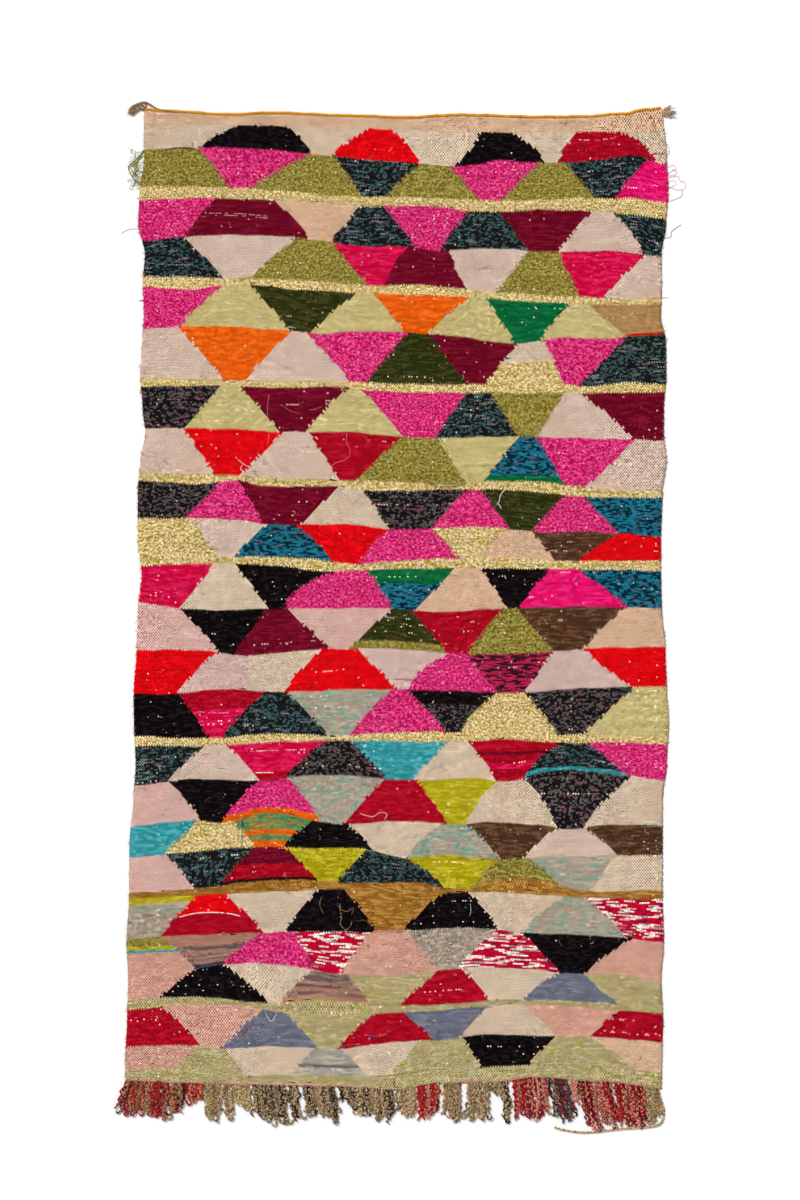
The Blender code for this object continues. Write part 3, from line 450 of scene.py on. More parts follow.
# Threads that lie on the cloth or just past its edges: thread, radius in millimetres, and x and y in
# centimetres of points along it
LOOSE_THREADS = (
    ("olive_fibre", 1.0, ((-60.6, 111.9), (-61.7, 110.5), (-62.9, 109.3), (-64.1, 108.2), (-64.2, 107.4),
        (-63.6, 106), (-62.6, 104.5), (-61.4, 103.6), (-60.7, 103.2))),
    ("olive_fibre", 0.9, ((-60.6, 111.5), (-61.9, 109.6), (-62.2, 107.9), (-61.4, 106.9), (-60, 106.9))),
    ("olive_fibre", 0.8, ((-60.8, 110.6), (-62.5, 108.9), (-63.7, 107.8), (-62.8, 106.4), (-61.2, 105.2))),
    ("soft_pink", 0.5, ((-60.5, 93), (-62.5, 93.1), (-64.5, 92.8), (-66, 92))),
    ("pink_fibre", 1.0, ((-60, 76), (-61.8, 75.8))),
    ("pale_pink", 0.5, ((65.3, 106), (66.5, 107.2), (67.4, 106.9), (67, 106), (65.4, 105.8))),
    ("pale_pink", 0.5, ((65.2, 105.2), (67.7, 105.7), (68.2, 104.6), (69.2, 104.3), (69.4, 103),
        (68.4, 102.2))),
    ("pale_pink", 0.5, ((65.2, 103.3), (67.4, 102.4), (68.5, 102.5), (68.8, 101.4), (68, 100.6),
        (65.4, 99.6))),
    ("pale_pink", 0.4, ((65, 107.8), (66.6, 108.4), (67.1, 107.4), (66.2, 106.9))),
    ("pale_pink", 0.4, ((65.2, 104.4), (66.8, 104.6), (67.2, 103.8), (66.3, 103.2), (65, 103))),
    ("dark_thread", 0.5, ((63.8, 91), (65.8, 91), (66.2, 92.4), (67.4, 93.4), (68.6, 94.1))),
    ("straw", 0.6, ((63.6, 76.5), (65.3, 76.6))),
    ("ochre", 1.2, ((61.6, 119.7), (61.8, 118.2))),
    ("dark_thread", 0.9, ((61.1, 120), (61.5, 119.5))),
    ("pink_fibre", 0.6, ((61.3, 118), (61.5, 117.3))),
    ("grey", 0.5, ((62.1, 118.1), (62.4, 116.3), (63.5, 114.5), (64.9, 113.5), (65.6, 111.9),
        (65.2, 110.5))),
    ("dark_thread", 0.45, ((52.4, 98.4), (53, 99.7), (55, 101.2), (57.4, 101), (59.4, 99.9), (62.2, 98.5),
        (64.5, 98.2))),
    ("dark_wine", 0.5, ((-3.5, 96.1), (-2.7, 94.8), (-1.9, 94.6), (-1.4, 95), (-1.3, 95.7), (-1.9, 97.4))),
    ("dark_thread", 0.5, ((-57.9, 120.7), (-57.8, 119), (-57.9, 117.6))),
    ("lemon", 0.9, ((-1.7, 111.6), (-1, 112.4))),
    ("dark_thread", 0.7, ((20, 83.6), (20.8, 83.3), (21.4, 83.9), (22.3, 83.4))),
    ("grey", 0.4, ((-50.2, 54.2), (-50.7, 52.2), (-49.8, 50.8), (-48, 51.2))),
    ("soft_pink", 0.4, ((-30.4, 53.2), (-30.8, 51), (-30.8, 46.4), (-30.5, 44.4), (-30.8, 41.2))),
    ("soft_pink", 0.4, ((-27, 50.4), (-25.2, 49.3), (-23.2, 48.7))),
    ("pale_pink", 0.4, ((-20.8, 49.6), (-19.4, 49.8), (-17.6, 50.5))),
    ("pale_pink", 0.4, ((-11.8, 44), (-11.8, 41.6), (-11, 40), (-11.6, 38), (-14.6, 36.8), (-15.6, 35.9))),
    ("soft_pink", 0.3, ((-7.4, 43.2), (-6.6, 41.4))),
    ("dark_thread", 0.4, ((5.2, 30.2), (5.5, 32.5), (5.9, 34), (6.6, 34.6), (7.7, 34.8), (8.6, 34.2),
        (7.9, 33.1), (8.4, 31.8), (9.6, 31.3), (11.3, 30.9), (13.5, 30.9), (14.7, 31.6), (16.4, 31.1))),
    ("white_thread", 0.9, ((26.3, 30.6), (25.1, 29.1), (24.7, 27.6), (24.2, 26.8))),
    ("white_thread", 0.7, ((24.6, 27.1), (25.3, 25.8))),
    ("white_thread", 0.7, ((-38, 37.7), (-37.1, 37), (-35.4, 35.9))),
    ("white_thread", 0.6, ((-36.8, 36.4), (-37.3, 35.5), (-36.7, 34.7))),
    ("navy", 1.0, ((-38.8, 36.7), (-38, 36.1))),
    ("dark_thread", 1.0, ((-34.4, 34.9), (-33.2, 34.8))),
    ("dark_thread", 0.6, ((24.7, 39.8), (25.7, 39.9))),
    ("teal_thread", 0.7, ((-36.8, -49.2), (-37, -51.2), (-36.9, -53.4), (-37.1, -55.2))),
    ("dark_thread", 1.4, ((-36.9, -48.9), (-36.7, -50.4))),
    ("dark_thread", 1.5, ((-36.8, -57.6), (-36.2, -59.6))),
    ("white_thread", 0.5, ((-8.6, -47.2), (-7, -47.8), (-5.4, -48), (-3.8, -47), (-2.2, -47.4),
        (-2.7, -48.7))),
    ("white_thread", 0.4, ((-57, -55.6), (-55, -55.2), (-53.3, -54.3))),
    ("straw", 0.5, ((-13.4, -68.8), (-13.4, -70.4), (-13, -72.4), (-13.4, -73.6), (-12.2, -75.2),
        (-11, -74.4), (-10.6, -73.2))),
    ("khaki", 0.5, ((-9.4, -73.2), (-7.8, -72.8), (-6.2, -74), (-5, -74.3))),
    ("soft_pink", 0.5, ((-13.4, -70.2), (-11.8, -70.8), (-10.2, -69.9), (-10.7, -71.7))),
    ("straw", 0.4, ((-17.8, -67.2), (-18.3, -69.2), (-17.4, -71.3))),
    ("white_thread", 0.4, ((17.8, -69), (18, -70.4), (17.7, -71.8))),
    ("white_thread", 0.5, ((-31.4, -95), (-30, -97.2), (-28.7, -95.3))),
    ("red_thread", 0.9, ((-37.9, -100.9), (-36.8, -100.4), (-35.5, -98.7))),
    ("red_thread", 0.5, ((-50, -98.4), (-49, -97.9), (-48.4, -98.3), (-47, -97.1))),
    ("soft_red", 1.0, ((-0.5, -111), (-0.4, -113))),
    ("pink_fibre", 1.0, ((-46.8, -33), (-45, -32.9))),
    ("green_thread", 0.8, ((-42.3, -36.3), (-41.2, -36.5))),
    ("green_thread", 0.7, ((16.2, 37.5), (17, 37.5))),
    ("green_thread", 0.7, ((19, 37.4), (20, 37.3))),
    ("grey", 0.5, ((-48.8, -36.4), (-47.6, -35.9))),
    ("grey", 0.4, ((-33, -14.6), (-31.4, -15), (-28.9, -14.5))),
    ("dark_thread", 1.0, ((-20.3, -15.9), (-20.2, -17.3))),
)

# Single passes that stand out as rows of beads: threads, share of the beads, x and y in centimetres
BEAD_ROWS = (
    (("dark_thread",), 1.0, ((-55.4, 112), (-52, 112.5), (-48.6, 112.3))),
    (("scarlet_thread",), 1.0, ((55.4, 67.4), (60, 67.6), (64.2, 67.9))),
    (("scarlet_thread",), 1.0, ((56.6, 67.7), (60, 67.9), (64.2, 68.2))),
    (("white_thread",), 0.85, ((-51.8, -72.1), (-48.5, -71.3), (-45.6, -71.05), (-42.7, -71.05),
        (-40, -71.3), (-37.4, -71.9))),
    (("grey", "soft_pink"), 0.9, ((-5.2, -75.5), (2, -75.3))),
    (("grey", "soft_pink"), 0.8, ((-5.2, -75.9), (1.6, -75.7))),
    (("pale_pink", "soft_pink"), 0.5, ((-45.6, 96.8), (-38, 96.7), (-30.2, 96))),
    (("pale_pink", "soft_pink"), 0.35, ((-45.2, 96.3), (-38, 96.2), (-31, 95.6))),
    (("white_thread", "pale_pink"), 0.55, ((44.2, 114.4), (48, 114.3), (52.2, 114.8))),
    (("white_thread", "pale_pink"), 0.45, ((-35.8, -32.4), (-28, -32.1), (-21, -31.9))),
    (("white_thread",), 0.6, ((-33.8, -37.5), (-29.6, -37.5))),
    (("pale_pink",), 0.4, ((-47.4, -22.9), (-42, -23.2), (-37.8, -22.8))),
    (("red_thread",), 0.5, ((-0.2, -15.1), (4.6, -15.2))),
    (("red_thread",), 0.8, ((61.8, 111), (64.6, 111))),
    (("teal_thread", "blue_thread", "green_thread"), 0.8, ((58.6, -50.1), (62.6, -50.1))),
    (("green_thread",), 0.6, ((12.6, 10.1), (15, 9.8))),
    (("orange_thread", "blue_thread"), 0.8, ((-7.4, -100.4), (-4.6, -100.8), (-2.2, -100.2))),
    (("orange_thread", "blue_thread"), 0.7, ((-13, -103.1), (-8.6, -102.6))),
)

# Lint, as threads named as often as they are met, and the yarns that it shows on
LINT = (
    (("red_thread", "red_thread", "dark_thread", "pink_fibre", "olive_fibre"), 900,
     ("peach", "cream", "blush", "pink_blush", "salmon", "lavender", "pistachio", "sage", "mint_pink",
      "grey_marl", "pale_blue", "slate", "camel", "olive")),
    (("red_thread", "orange_thread", "lemon", "white_thread", "olive_fibre"), 1100, ("lime",)),
    (("white_thread", "white_thread", "straw", "soft_pink"), 600,
     ("black", "wine", "crimson", "scarlet", "raspberry", "hot_pink", "orange", "emerald", "golden_brown",
      "magenta", "turquoise")),
    (("red_thread", "white_thread", "pink_fibre", "teal_thread", "soft_red"), 1100,
     ("charcoal", "charcoal_teal", "teal_blue", "dark_green", "brown")),
)
HAIRS = {
    "magenta": ("pink_fibre", "pale_pink", "pink_fibre"),
    "hot_pink": ("pink_fibre",),
    "olive": ("olive_fibre", "lime_fibre", "olive_fibre"),
    "lime": ("lime_fibre", "straw", "olive_fibre"),
    "charcoal": ("dark_thread", "grey"),
    "charcoal_teal": ("dark_thread", "grey"),
}
HAIRS_PER_PATCH = 34
BORDER_FUZZ = 0.003
HAIR_RADIUS = 0.0004
HAIR_STEP = (0.0012, 0.0026)
HAIR_CURL = 0.6

# Specks of lint: length of each of their two steps, and radius
SPECK_STEP = (0.0010, 0.0022)
SPECK_RADIUS = (0.0009, 0.0016)
LINT_LIFT = 0.0006

# Hairs of the frayed selvedges
EDGE_HAIRS = 900
EDGE_RANGE = (-1.11, 1.20)
EDGE_FUZZ = 0.0015
EDGE_HAIR_RADIUS = 0.0005
EDGE_HAIR_STEP = (0.0010, 0.0022)
EDGE_NAMES = ("beige", "soft_pink", "pink_fibre", "dark_thread", "lime_fibre", "grey")
EDGE_EASE = 0.004

# Thin curled fibres, and what they are on pale yarns
FIBRES = 170
FIBRE_RADIUS = 0.00035
FIBRE_STEP = 0.0019
FIBRE_STEPS = (5, 11)
FIBRE_NAMES = ("pale_pink", "white_thread", "straw", "khaki", "soft_pink")
PALE_FIBRE_NAMES = ("soft_pink", "grey", "khaki")
PALE_YARNS = ("cream", "blush", "peach", "lavender", "pistachio", "salmon", "pink_blush")

# The olive tangle of hairs past the left side: count, middle and spread
TANGLE_HAIRS = 130
TANGLE_MIDDLE = (-0.625, 1.070)
TANGLE_SPREAD = (0.007, 0.022)

# Loose threads, and the beads of single passes
THREAD_LIFT = 0.0003
THREAD_JITTER = 0.0003
BEAD_RADIUS = 0.0014
BEAD_STEPS = (-0.0022, -0.0009, 0.0009, 0.0022)
FACE_RANGE = (-0.60, 0.63)

def linear(colour):
    """An sRGB colour from 0 to 255 as linear RGBA."""
    shares = [value / 255 for value in colour]
    curved = [s / 12.92 if s <= 0.04045 else ((s + 0.055) / 1.055) ** 2.4 for s in shares]
    return (*curved, 1.0)


def read_row(rows, at, column):
    """The column's value where the first column reads at, eased between two rows."""
    keys = [row[0] for row in rows]
    at = min(max(at, keys[0]), keys[-1])
    upper = min(bisect.bisect_right(keys, at), len(rows) - 1)
    low = rows[upper - 1]
    high = rows[upper]
    share = (at - low[0]) / (high[0] - low[0])
    return low[column] + (high[column] - low[column]) * share * share * (3 - 2 * share)


def smooth_line(points, at):
    """Heights of a smooth curve through the points, in metres, for points in centimetres."""
    knots = np.array(points, float) * CM
    slopes = np.gradient(knots[:, 1], knots[:, 0])
    at = np.clip(at, knots[0, 0], knots[-1, 0])
    upper = np.clip(np.searchsorted(knots[:, 0], at), 1, len(knots) - 1)
    low = knots[upper - 1]
    high = knots[upper]
    run = high[:, 0] - low[:, 0]
    t = (at - low[:, 0]) / run
    rise = t * t * (3 - 2 * t)
    leave = t * (1 - t) ** 2 * run * slopes[upper - 1]
    arrive = t * t * (t - 1) * run * slopes[upper]
    return low[:, 1] + (high[:, 1] - low[:, 1]) * rise + leave + arrive


class Nodes:
    """Adds nodes to one tree and joins them."""

    def __init__(self, tree):
        self.tree = tree

    def join(self, value, socket):
        if isinstance(value, bpy.types.NodeSocket):
            self.tree.links.new(value, socket)
        else:
            socket.default_value = value

    def add(self, kind, inputs=None, **settings):
        node = self.tree.nodes.new(kind)
        for key, value in settings.items():
            setattr(node, key, value)
        for name, value in (inputs or {}).items():
            self.join(value, node.inputs[name])
        return node

    def math(self, operation, first, second=0.0, third=0.0):
        node = self.add("ShaderNodeMath", operation=operation)
        for value, socket in zip((first, second, third), node.inputs):
            self.join(value, socket)
        return node.outputs[0]

    def between(self, value, low, high):
        """Eases from 0 at low to 1 at high."""
        inputs = {"Value": value, "From Min": low, "From Max": high}
        return self.add("ShaderNodeMapRange", inputs, interpolation_type="SMOOTHSTEP").outputs[0]

    def blend(self, share, first, second):
        """A number between first and second."""
        inputs = {0: share, 2: first, 3: second}
        return self.add("ShaderNodeMix", inputs, data_type="FLOAT").outputs[0]

    def mix(self, share, first, second):
        node = self.add("ShaderNodeMixRGB", {"Fac": share, "Color1": first, "Color2": second})
        return node.outputs[0]

    def scale(self, colour, factor):
        node = self.add("ShaderNodeVectorMath", {"Vector": colour, "Scale": factor}, operation="SCALE")
        return node.outputs[0]

    def vector(self, x, y, z=0.0):
        return self.add("ShaderNodeCombineXYZ", {"X": x, "Y": y, "Z": z}).outputs[0]

    def noise(self, vector, scale, detail=1.0):
        inputs = {"Vector": vector, "Scale": scale, "Detail": detail}
        return self.add("ShaderNodeTexNoise", inputs, noise_dimensions="3D").outputs["Fac"]

    def chance(self, vector):
        return self.add("ShaderNodeTexWhiteNoise", {"Vector": vector}, noise_dimensions="3D").outputs["Value"]


# Shading of the weave
WEAVE_INPUTS = (
    ("Main", "NodeSocketColor"),
    ("Second", "NodeSocketColor"),
    ("Fleck", "NodeSocketColor"),
    ("Second Share", "NodeSocketFloat"),
    ("Fleck Share", "NodeSocketFloat"),
    ("Run", "NodeSocketFloat"),
    ("Fuzz", "NodeSocketFloat"),
    ("Painted Pit Shade Light", "NodeSocketFloat"),
    ("Unevenness", "NodeSocketFloat"),
    ("Bare Share", "NodeSocketFloat"),
    ("Fleck Beads", "NodeSocketFloat"),
)
TONE_GAIN = 1.55
CLOUDS_PER_METRE = 9.0
BLOTCHES_PER_METRE = 70.0
FUZZ_PER_METRE = 210.0
CLUMPS_PER_METRE = 210.0
CLUMP_STRETCH = 0.75
BUMP_METRES = 0.0012
WORN_WARPS = (-0.575, 0.085, 0.620)
WORN_WIDTH = 0.006
WARP_COTTON = (222, 205, 188)
DIRT = (0.80, 0.70, 0.60, 1.0)


def make_weave_group():
    """The node group that all the cloth's yarns share: beads over the warps, marl, flecks, wear, and painted
    shade in the pits and between the passes.
    """
    group = bpy.data.node_groups.new("weft_faced_weave", "ShaderNodeTree")
    for name, kind in WEAVE_INPUTS:
        group.interface.new_socket(name, in_out="INPUT", socket_type=kind)
    group.interface.new_socket("Color", in_out="OUTPUT", socket_type="NodeSocketColor")
    group.interface.new_socket("Height", in_out="OUTPUT", socket_type="NodeSocketFloat")
    n = Nodes(group)
    given = n.add("NodeGroupInput").outputs
    weave = n.add("ShaderNodeSeparateXYZ", {"Vector": n.add("ShaderNodeUVMap", uv_map="weave").outputs[0]})
    warps, passes = weave.outputs["X"], weave.outputs["Y"]
    patch = n.add("ShaderNodeAttribute", attribute_name="patch").outputs["Fac"]
    place = n.add("ShaderNodeTexCoord").outputs["Object"]
    axes = n.add("ShaderNodeSeparateXYZ", {"Vector": place})

    # Beads: each pass rises over every other warp, half a pitch off from the next, with pits between
    row = n.math("FLOOR", passes)
    shifted = n.math("MULTIPLY_ADD", n.math("MODULO", row, 2.0), 0.5, warps)
    bead = n.math("FLOOR", shifted)
    pit = n.math("FLOOR", n.math("ADD", shifted, 0.5))
    from_middle = n.math("ABSOLUTE", n.math("SUBTRACT", n.math("FRACT", shifted), 0.5))
    from_crest = n.math("ABSOLUTE", n.math("SUBTRACT", n.math("FRACT", passes), 0.5))
    from_pit = n.math("MULTIPLY_ADD", from_crest, 0.45, n.math("SUBTRACT", 0.5, from_middle))
    in_pit = n.between(from_pit, 0.42, 0.22)
    on_crest = n.between(from_crest, 0.5, 0.10)
    on_bead = n.math("MULTIPLY", n.math("SUBTRACT", 1.0, in_pit), n.between(from_crest, 0.50, 0.28))
    bead_height = n.math("MULTIPLY", n.math("MULTIPLY_ADD", in_pit, -0.75, 1.0), on_crest)

    # Runs of a second shade: dashes along each pass for plain yarn, soft clumps for fuzzy yarn
    run = n.math("FLOOR", n.math("DIVIDE", n.math("MULTIPLY_ADD", row, 1.7, warps), given["Run"]))
    dashes = n.chance(n.vector(run, row, patch))
    clump_place = n.vector(n.math("MULTIPLY", axes.outputs["X"], CLUMP_STRETCH), axes.outputs["Y"], patch)
    clumps = n.noise(clump_place, CLUMPS_PER_METRE, 3.0)
    shade = n.blend(n.math("GREATER_THAN", given["Fuzz"], 0.9), dashes, n.between(clumps, 0.34, 0.66))
    limit = n.math("SUBTRACT", 1.0, given["Second Share"])
    second = n.between(shade, n.math("SUBTRACT", limit, 0.06), n.math("ADD", limit, 0.06))
    colour = n.mix(second, given["Main"], given["Second"])
    slanted = n.math("MULTIPLY_ADD", row, 1.3, shifted)
    fleck_place = n.math("FLOOR", n.math("DIVIDE", slanted, given["Fleck Beads"]))
    luck = n.chance(n.vector(fleck_place, row, n.math("ADD", patch, 0.5)))
    stretch_place = n.vector(n.math("MULTIPLY", warps, 0.12), n.math("MULTIPLY", passes, 0.22), patch)
    stretches = n.noise(stretch_place, 1.0, 2.0)
    share = n.math("MULTIPLY", given["Fleck Share"], n.math("MULTIPLY", n.between(stretches, 0.34, 0.66), 2.0))
    fleck = n.math("MULTIPLY", n.math("GREATER_THAN", luck, n.math("SUBTRACT", 1.0, share)), on_bead)
    colour = n.mix(fleck, colour, given["Fleck"])

    # Cotton warp that shows between two beads: here and there, along a thin pass, and at worn warps
    pit_luck = n.chance(n.vector(pit, row, n.math("ADD", patch, 9.0)))
    worn = 0.0
    for x in WORN_WARPS:
        off = n.math("ABSOLUTE", n.math("SUBTRACT", axes.outputs["X"], x))
        worn = n.math("ADD", worn, n.between(off, WORN_WIDTH, 0.0))
    thin_pass = n.math("GREATER_THAN", n.chance(n.vector(row, patch, 11.0)), 0.96)
    thin_pass = n.math("MULTIPLY", thin_pass, n.between(stretches, 0.50, 0.56))
    thin_share = n.math("MINIMUM", n.math("MULTIPLY", given["Bare Share"], 150.0), 0.5)
    thin_share = n.math("MULTIPLY", thin_share, thin_pass)
    bare_share = n.math("ADD", thin_share, given["Bare Share"])
    bare_share = n.math("MULTIPLY_ADD", worn, 0.06, bare_share)
    bare = n.math("MULTIPLY", n.math("GREATER_THAN", bare_share, pit_luck), in_pit)
    colour = n.mix(n.math("MULTIPLY", bare, 0.8), colour, linear(WARP_COTTON))

    # Tone: each pass, each bead, soft clouds and blotches, dirt, and painted shade in the pits and in the seams
    # between passes
    by_row = n.math("SUBTRACT", n.chance(n.vector(row, patch, 3.0)), 0.5)
    by_bead = n.math("SUBTRACT", n.chance(n.vector(bead, row, 5.0)), 0.5)
    clouds = n.noise(place, CLOUDS_PER_METRE, 4.0)
    blotches = n.math("SUBTRACT", n.noise(place, BLOTCHES_PER_METRE, 3.0), 0.5)
    fuzz = n.math("SUBTRACT", n.noise(place, FUZZ_PER_METRE, 2.0), 0.5)
    bead_share = n.math("MULTIPLY_ADD", given["Fuzz"], -0.50, 0.80)
    tone = n.math("MULTIPLY_ADD", by_row, 0.26, n.math("MULTIPLY", by_bead, bead_share))
    tone = n.math("MULTIPLY_ADD", fuzz, n.math("MULTIPLY_ADD", given["Fuzz"], 2.8, 0.8), tone)
    gain = n.math("MULTIPLY_ADD", given["Fuzz"], -0.20, TONE_GAIN)
    tone = n.math("MULTIPLY_ADD", tone, given["Unevenness"], gain)
    tone = n.math("MULTIPLY_ADD", n.math("SUBTRACT", clouds, 0.5), 0.45, tone)
    tone = n.math("MULTIPLY_ADD", blotches, 0.35, tone)
    # Painted shade: the pits between beads are darkened in the colour, except where bare warp shows
    painted_shade_depth = n.math("MULTIPLY", in_pit, n.math("MINIMUM", n.math("MULTIPLY_ADD", pit_luck, 0.7, 0.45), 1.0))
    # Painted shade: the seams between passes are darkened too, less on fuzzy yarn
    painted_seam_strength = n.math("MULTIPLY_ADD", given["Fuzz"], -0.25, 0.32)
    painted_seam_shade = n.math("MULTIPLY", n.math("SUBTRACT", 1.0, on_crest), painted_seam_strength)
    painted_shade_depth = n.math("MAXIMUM", painted_shade_depth, painted_seam_shade)
    painted_shade_factor = n.blend(n.math("MULTIPLY", painted_shade_depth, n.math("SUBTRACT", 1.0, bare)), 1.0, given["Painted Pit Shade Light"])
    colour = n.scale(colour, n.math("MULTIPLY", n.math("MAXIMUM", tone, 0.12), painted_shade_factor))
    dirty = n.math("MULTIPLY", n.between(clouds, 0.50, 0.72), 0.45)
    tinted = n.add("ShaderNodeMixRGB", {"Fac": dirty, "Color1": colour, "Color2": DIRT}, blend_type="MULTIPLY")
    colour = tinted.outputs[0]

    given_back = n.add("NodeGroupOutput")
    n.join(colour, given_back.inputs["Color"])
    soft = n.math("MULTIPLY_ADD", clumps, 0.8, n.math("MULTIPLY", on_crest, 0.3))
    height = n.blend(n.math("MULTIPLY", given["Fuzz"], 0.7), bead_height, soft)
    n.join(n.math("MULTIPLY_ADD", fuzz, 0.4, height), given_back.inputs["Height"])
    return group


def make_cloth_shader(material, colour, height, strength):
    """Joins a colour and a height to the material's shader and sets the cloth's dull finish."""
    n = Nodes(material.node_tree)
    shader = material.node_tree.nodes["Principled BSDF"]
    bump = n.add("ShaderNodeBump", {"Height": height, "Distance": BUMP_METRES, "Strength": strength})
    n.join(colour, shader.inputs["Base Color"])
    n.join(bump.outputs[0], shader.inputs["Normal"])
    shader.inputs["Roughness"].default_value = 0.95
    shader.inputs["Specular IOR Level"].default_value = 0.03
    shader.inputs["Sheen Weight"].default_value = 0.01
    shader.inputs["Sheen Roughness"].default_value = 0.6


def make_yarn_material(name, group):
    """A woven yarn's material: its own colours in the shared weave."""
    kind, main, second, fleck, second_share, fleck_share, run = YARNS[name]
    material = bpy.data.materials.new(name)
    material.use_nodes = True
    weave = Nodes(material.node_tree).add("ShaderNodeGroup")
    weave.node_tree = group
    values = (linear(main), linear(second), linear(fleck), second_share, fleck_share, run, *KINDS[kind])
    for socket, value in zip(weave.inputs, values):
        socket.default_value = value
    make_cloth_shader(material, weave.outputs["Color"], weave.outputs["Height"], 0.75)
    return material


def make_thread_material(name):
    """A spun thread's material: two shades in short runs, a tone of its own for each strand, fine fibres."""
    main, second = THREADS[name]
    material = bpy.data.materials.new(name)
    material.use_nodes = True
    n = Nodes(material.node_tree)
    place = n.add("ShaderNodeTexCoord").outputs["Object"]
    strand = n.add("ShaderNodeAttribute", attribute_name="strand").outputs["Fac"]
    runs = n.noise(n.add("ShaderNodeVectorMath", {0: place, 1: n.vector(strand, strand)}).outputs[0], 160.0, 2.0)
    fibres = n.noise(place, 1400.0, 2.0)
    colour = n.mix(n.between(runs, 0.42, 0.62), linear(main), linear(second))
    tone = n.math("MULTIPLY_ADD", n.math("SUBTRACT", n.math("FRACT", strand), 0.5), 0.5, 0.72)
    colour = n.scale(colour, n.math("MULTIPLY_ADD", fibres, 0.6, tone))
    make_cloth_shader(material, colour, fibres, 0.5)
    return material


class Cloth:
    """Collects the vertices and faces of the woven cloth."""

    def __init__(self):
        self.points = []
        self.weave = []
        self.faces = []
        self.yarns = []
        self.patches = []
        self.under = []

    def add_point(self, x, y, z, row):
        self.points.append((x, y, z))
        self.weave.append((x / WARP_PITCH, row))
        return len(self.points) - 1

    def add_face(self, corners, yarn, patch, under=False):
        self.faces.append(corners)
        self.yarns.append(yarn)
        self.patches.append(patch)
        self.under.append(under)


def yarn_at(yarn, share):
    """The yarn woven at a share of the patch's height."""
    for top, layer in LAYERED.get(yarn, ((1.0, yarn),)):
        if share <= top:
            return layer
    return yarn


def side_x(y, hand, row):
    """x of the selvedge at y: hand is 1 for the left side and 2 for the right."""
    outward = -1 if hand == 1 else 1
    return read_row(SIDES, y, hand) + outward * SELVEDGE_BEAD * math.sin(math.pi * row / 2)


def nearest_pit(x, row):
    """x of the pit between two beads of this row that is nearest to x."""
    shift = 0.5 * (row % 2)
    return (round(x / WARP_PITCH + shift) - shift) * WARP_PITCH


class Strip:
    """One strip of patches between two lines across the cloth."""

    def __init__(self, number, bulge, foot_line, head_line, patches, first_row):
        self.number = number
        self.foot_line = foot_line
        self.head_line = head_line
        self.yarns = [patch[0] for patch in patches]
        self.borders = [(patch[1] * CM, patch[2] * CM, *patch[3:], bulge)[:3] for patch in patches[:-1]]
        middle = np.linspace(-0.6, 0.6, 25)
        height = float(np.mean(head_line(middle) - foot_line(middle)))
        self.rows = max(LEAST_ROWS, round(height / ROW_PITCH))
        self.first_row = first_row
        self.dice = np.random.default_rng(SEED + number).random((self.rows, max(1, len(self.borders))))

    def height(self, xs, share):
        return self.foot_line(xs) * (1 - share) + self.head_line(xs) * share

    def border_x(self, index, share):
        head, foot, bulge = self.borders[index]
        return foot + (head - foot) * share**bulge

    def marks(self, row):
        """x where each patch ends on one row, on a pit and now and then a bead astray."""
        share = (row + 0.5) / self.rows
        marks = []
        for index in range(len(self.borders)):
            drift = 0.0012 * math.sin(0.45 * row + 2.1 * index + self.number)
            stray = STRAY * WARP_PITCH * (self.dice[row][index] - 0.5)
            marks.append(nearest_pit(self.border_x(index, share) + drift + stray, self.first_row + row))
        return marks


def line_ends(strip, share, row):
    """x of both ends of a line at a share of the strip's height."""
    ys = strip.height(np.array([-0.62, 0.64]), share)
    return side_x(float(ys[0]), 1, row), side_x(float(ys[1]), 2, row)


class Row:
    """One row of faces: where its patches end, and what is woven in each."""

    def __init__(self, strip, row, rows_taken):
        self.strip = strip
        self.first = strip.first_row + row
        self.rows = rows_taken
        self.marks = strip.marks(row)
        self.share = (row + rows_taken / 2) / strip.rows
        self.foot_share = row / strip.rows
        left, right = line_ends(strip, self.share, self.first)
        inner = [x for x in GRID if left + 2 * SELVEDGE_WIDTH < x < right - 2 * SELVEDGE_WIDTH]
        inner = [x for x in inner if all(abs(x - mark) > MERGE_WIDTH for mark in self.marks)]
        self.stations = sorted([left, left + SELVEDGE_WIDTH, *inner, *self.marks, right - SELVEDGE_WIDTH, right])

    def patch_at(self, x):
        return bisect.bisect(self.marks, x)

    def yarn_of(self, patch):
        return yarn_at(self.strip.yarns[patch], self.share)


GRID = np.arange(-0.66, 0.67, COLUMN_WIDTH)


def make_lines():
    """Functions for the height of every line across the cloth, foot to head."""

    def from_edge(rows):
        return lambda xs: np.array([read_row(rows, x, 1) for x in xs])

    def from_points(points, number):
        def line(xs):
            wobble = np.sin(xs * 83 + number) + np.sin(xs * 47 + 2.3 * number)
            return smooth_line(points, xs) + LINE_WOBBLE * wobble

        return line

    lines = [from_edge(FOOT)]
    for number, (_, points, _) in enumerate(reversed(STRIPS[:-1])):
        lines.append(from_points(points, number))
    lines.append(from_edge(HEAD))
    return lines


def make_strips():
    """The strips of the cloth, foot to head."""
    lines = make_lines()
    strips = []
    first_row = 0
    for number, (bulge, _, patches) in enumerate(reversed(STRIPS)):
        strip = Strip(number, bulge, lines[number], lines[number + 1], patches, first_row)
        strips.append(strip)
        first_row += strip.rows
    return strips


def make_rows(strips, step):
    """Rows of faces from foot to head, each step passes high where its strip has as many left."""
    rows = []
    for strip in strips:
        starts = list(range(0, strip.rows, step))
        for start, end in zip(starts, starts[1:] + [strip.rows]):
            rows.append(Row(strip, start, end - start))
    return rows


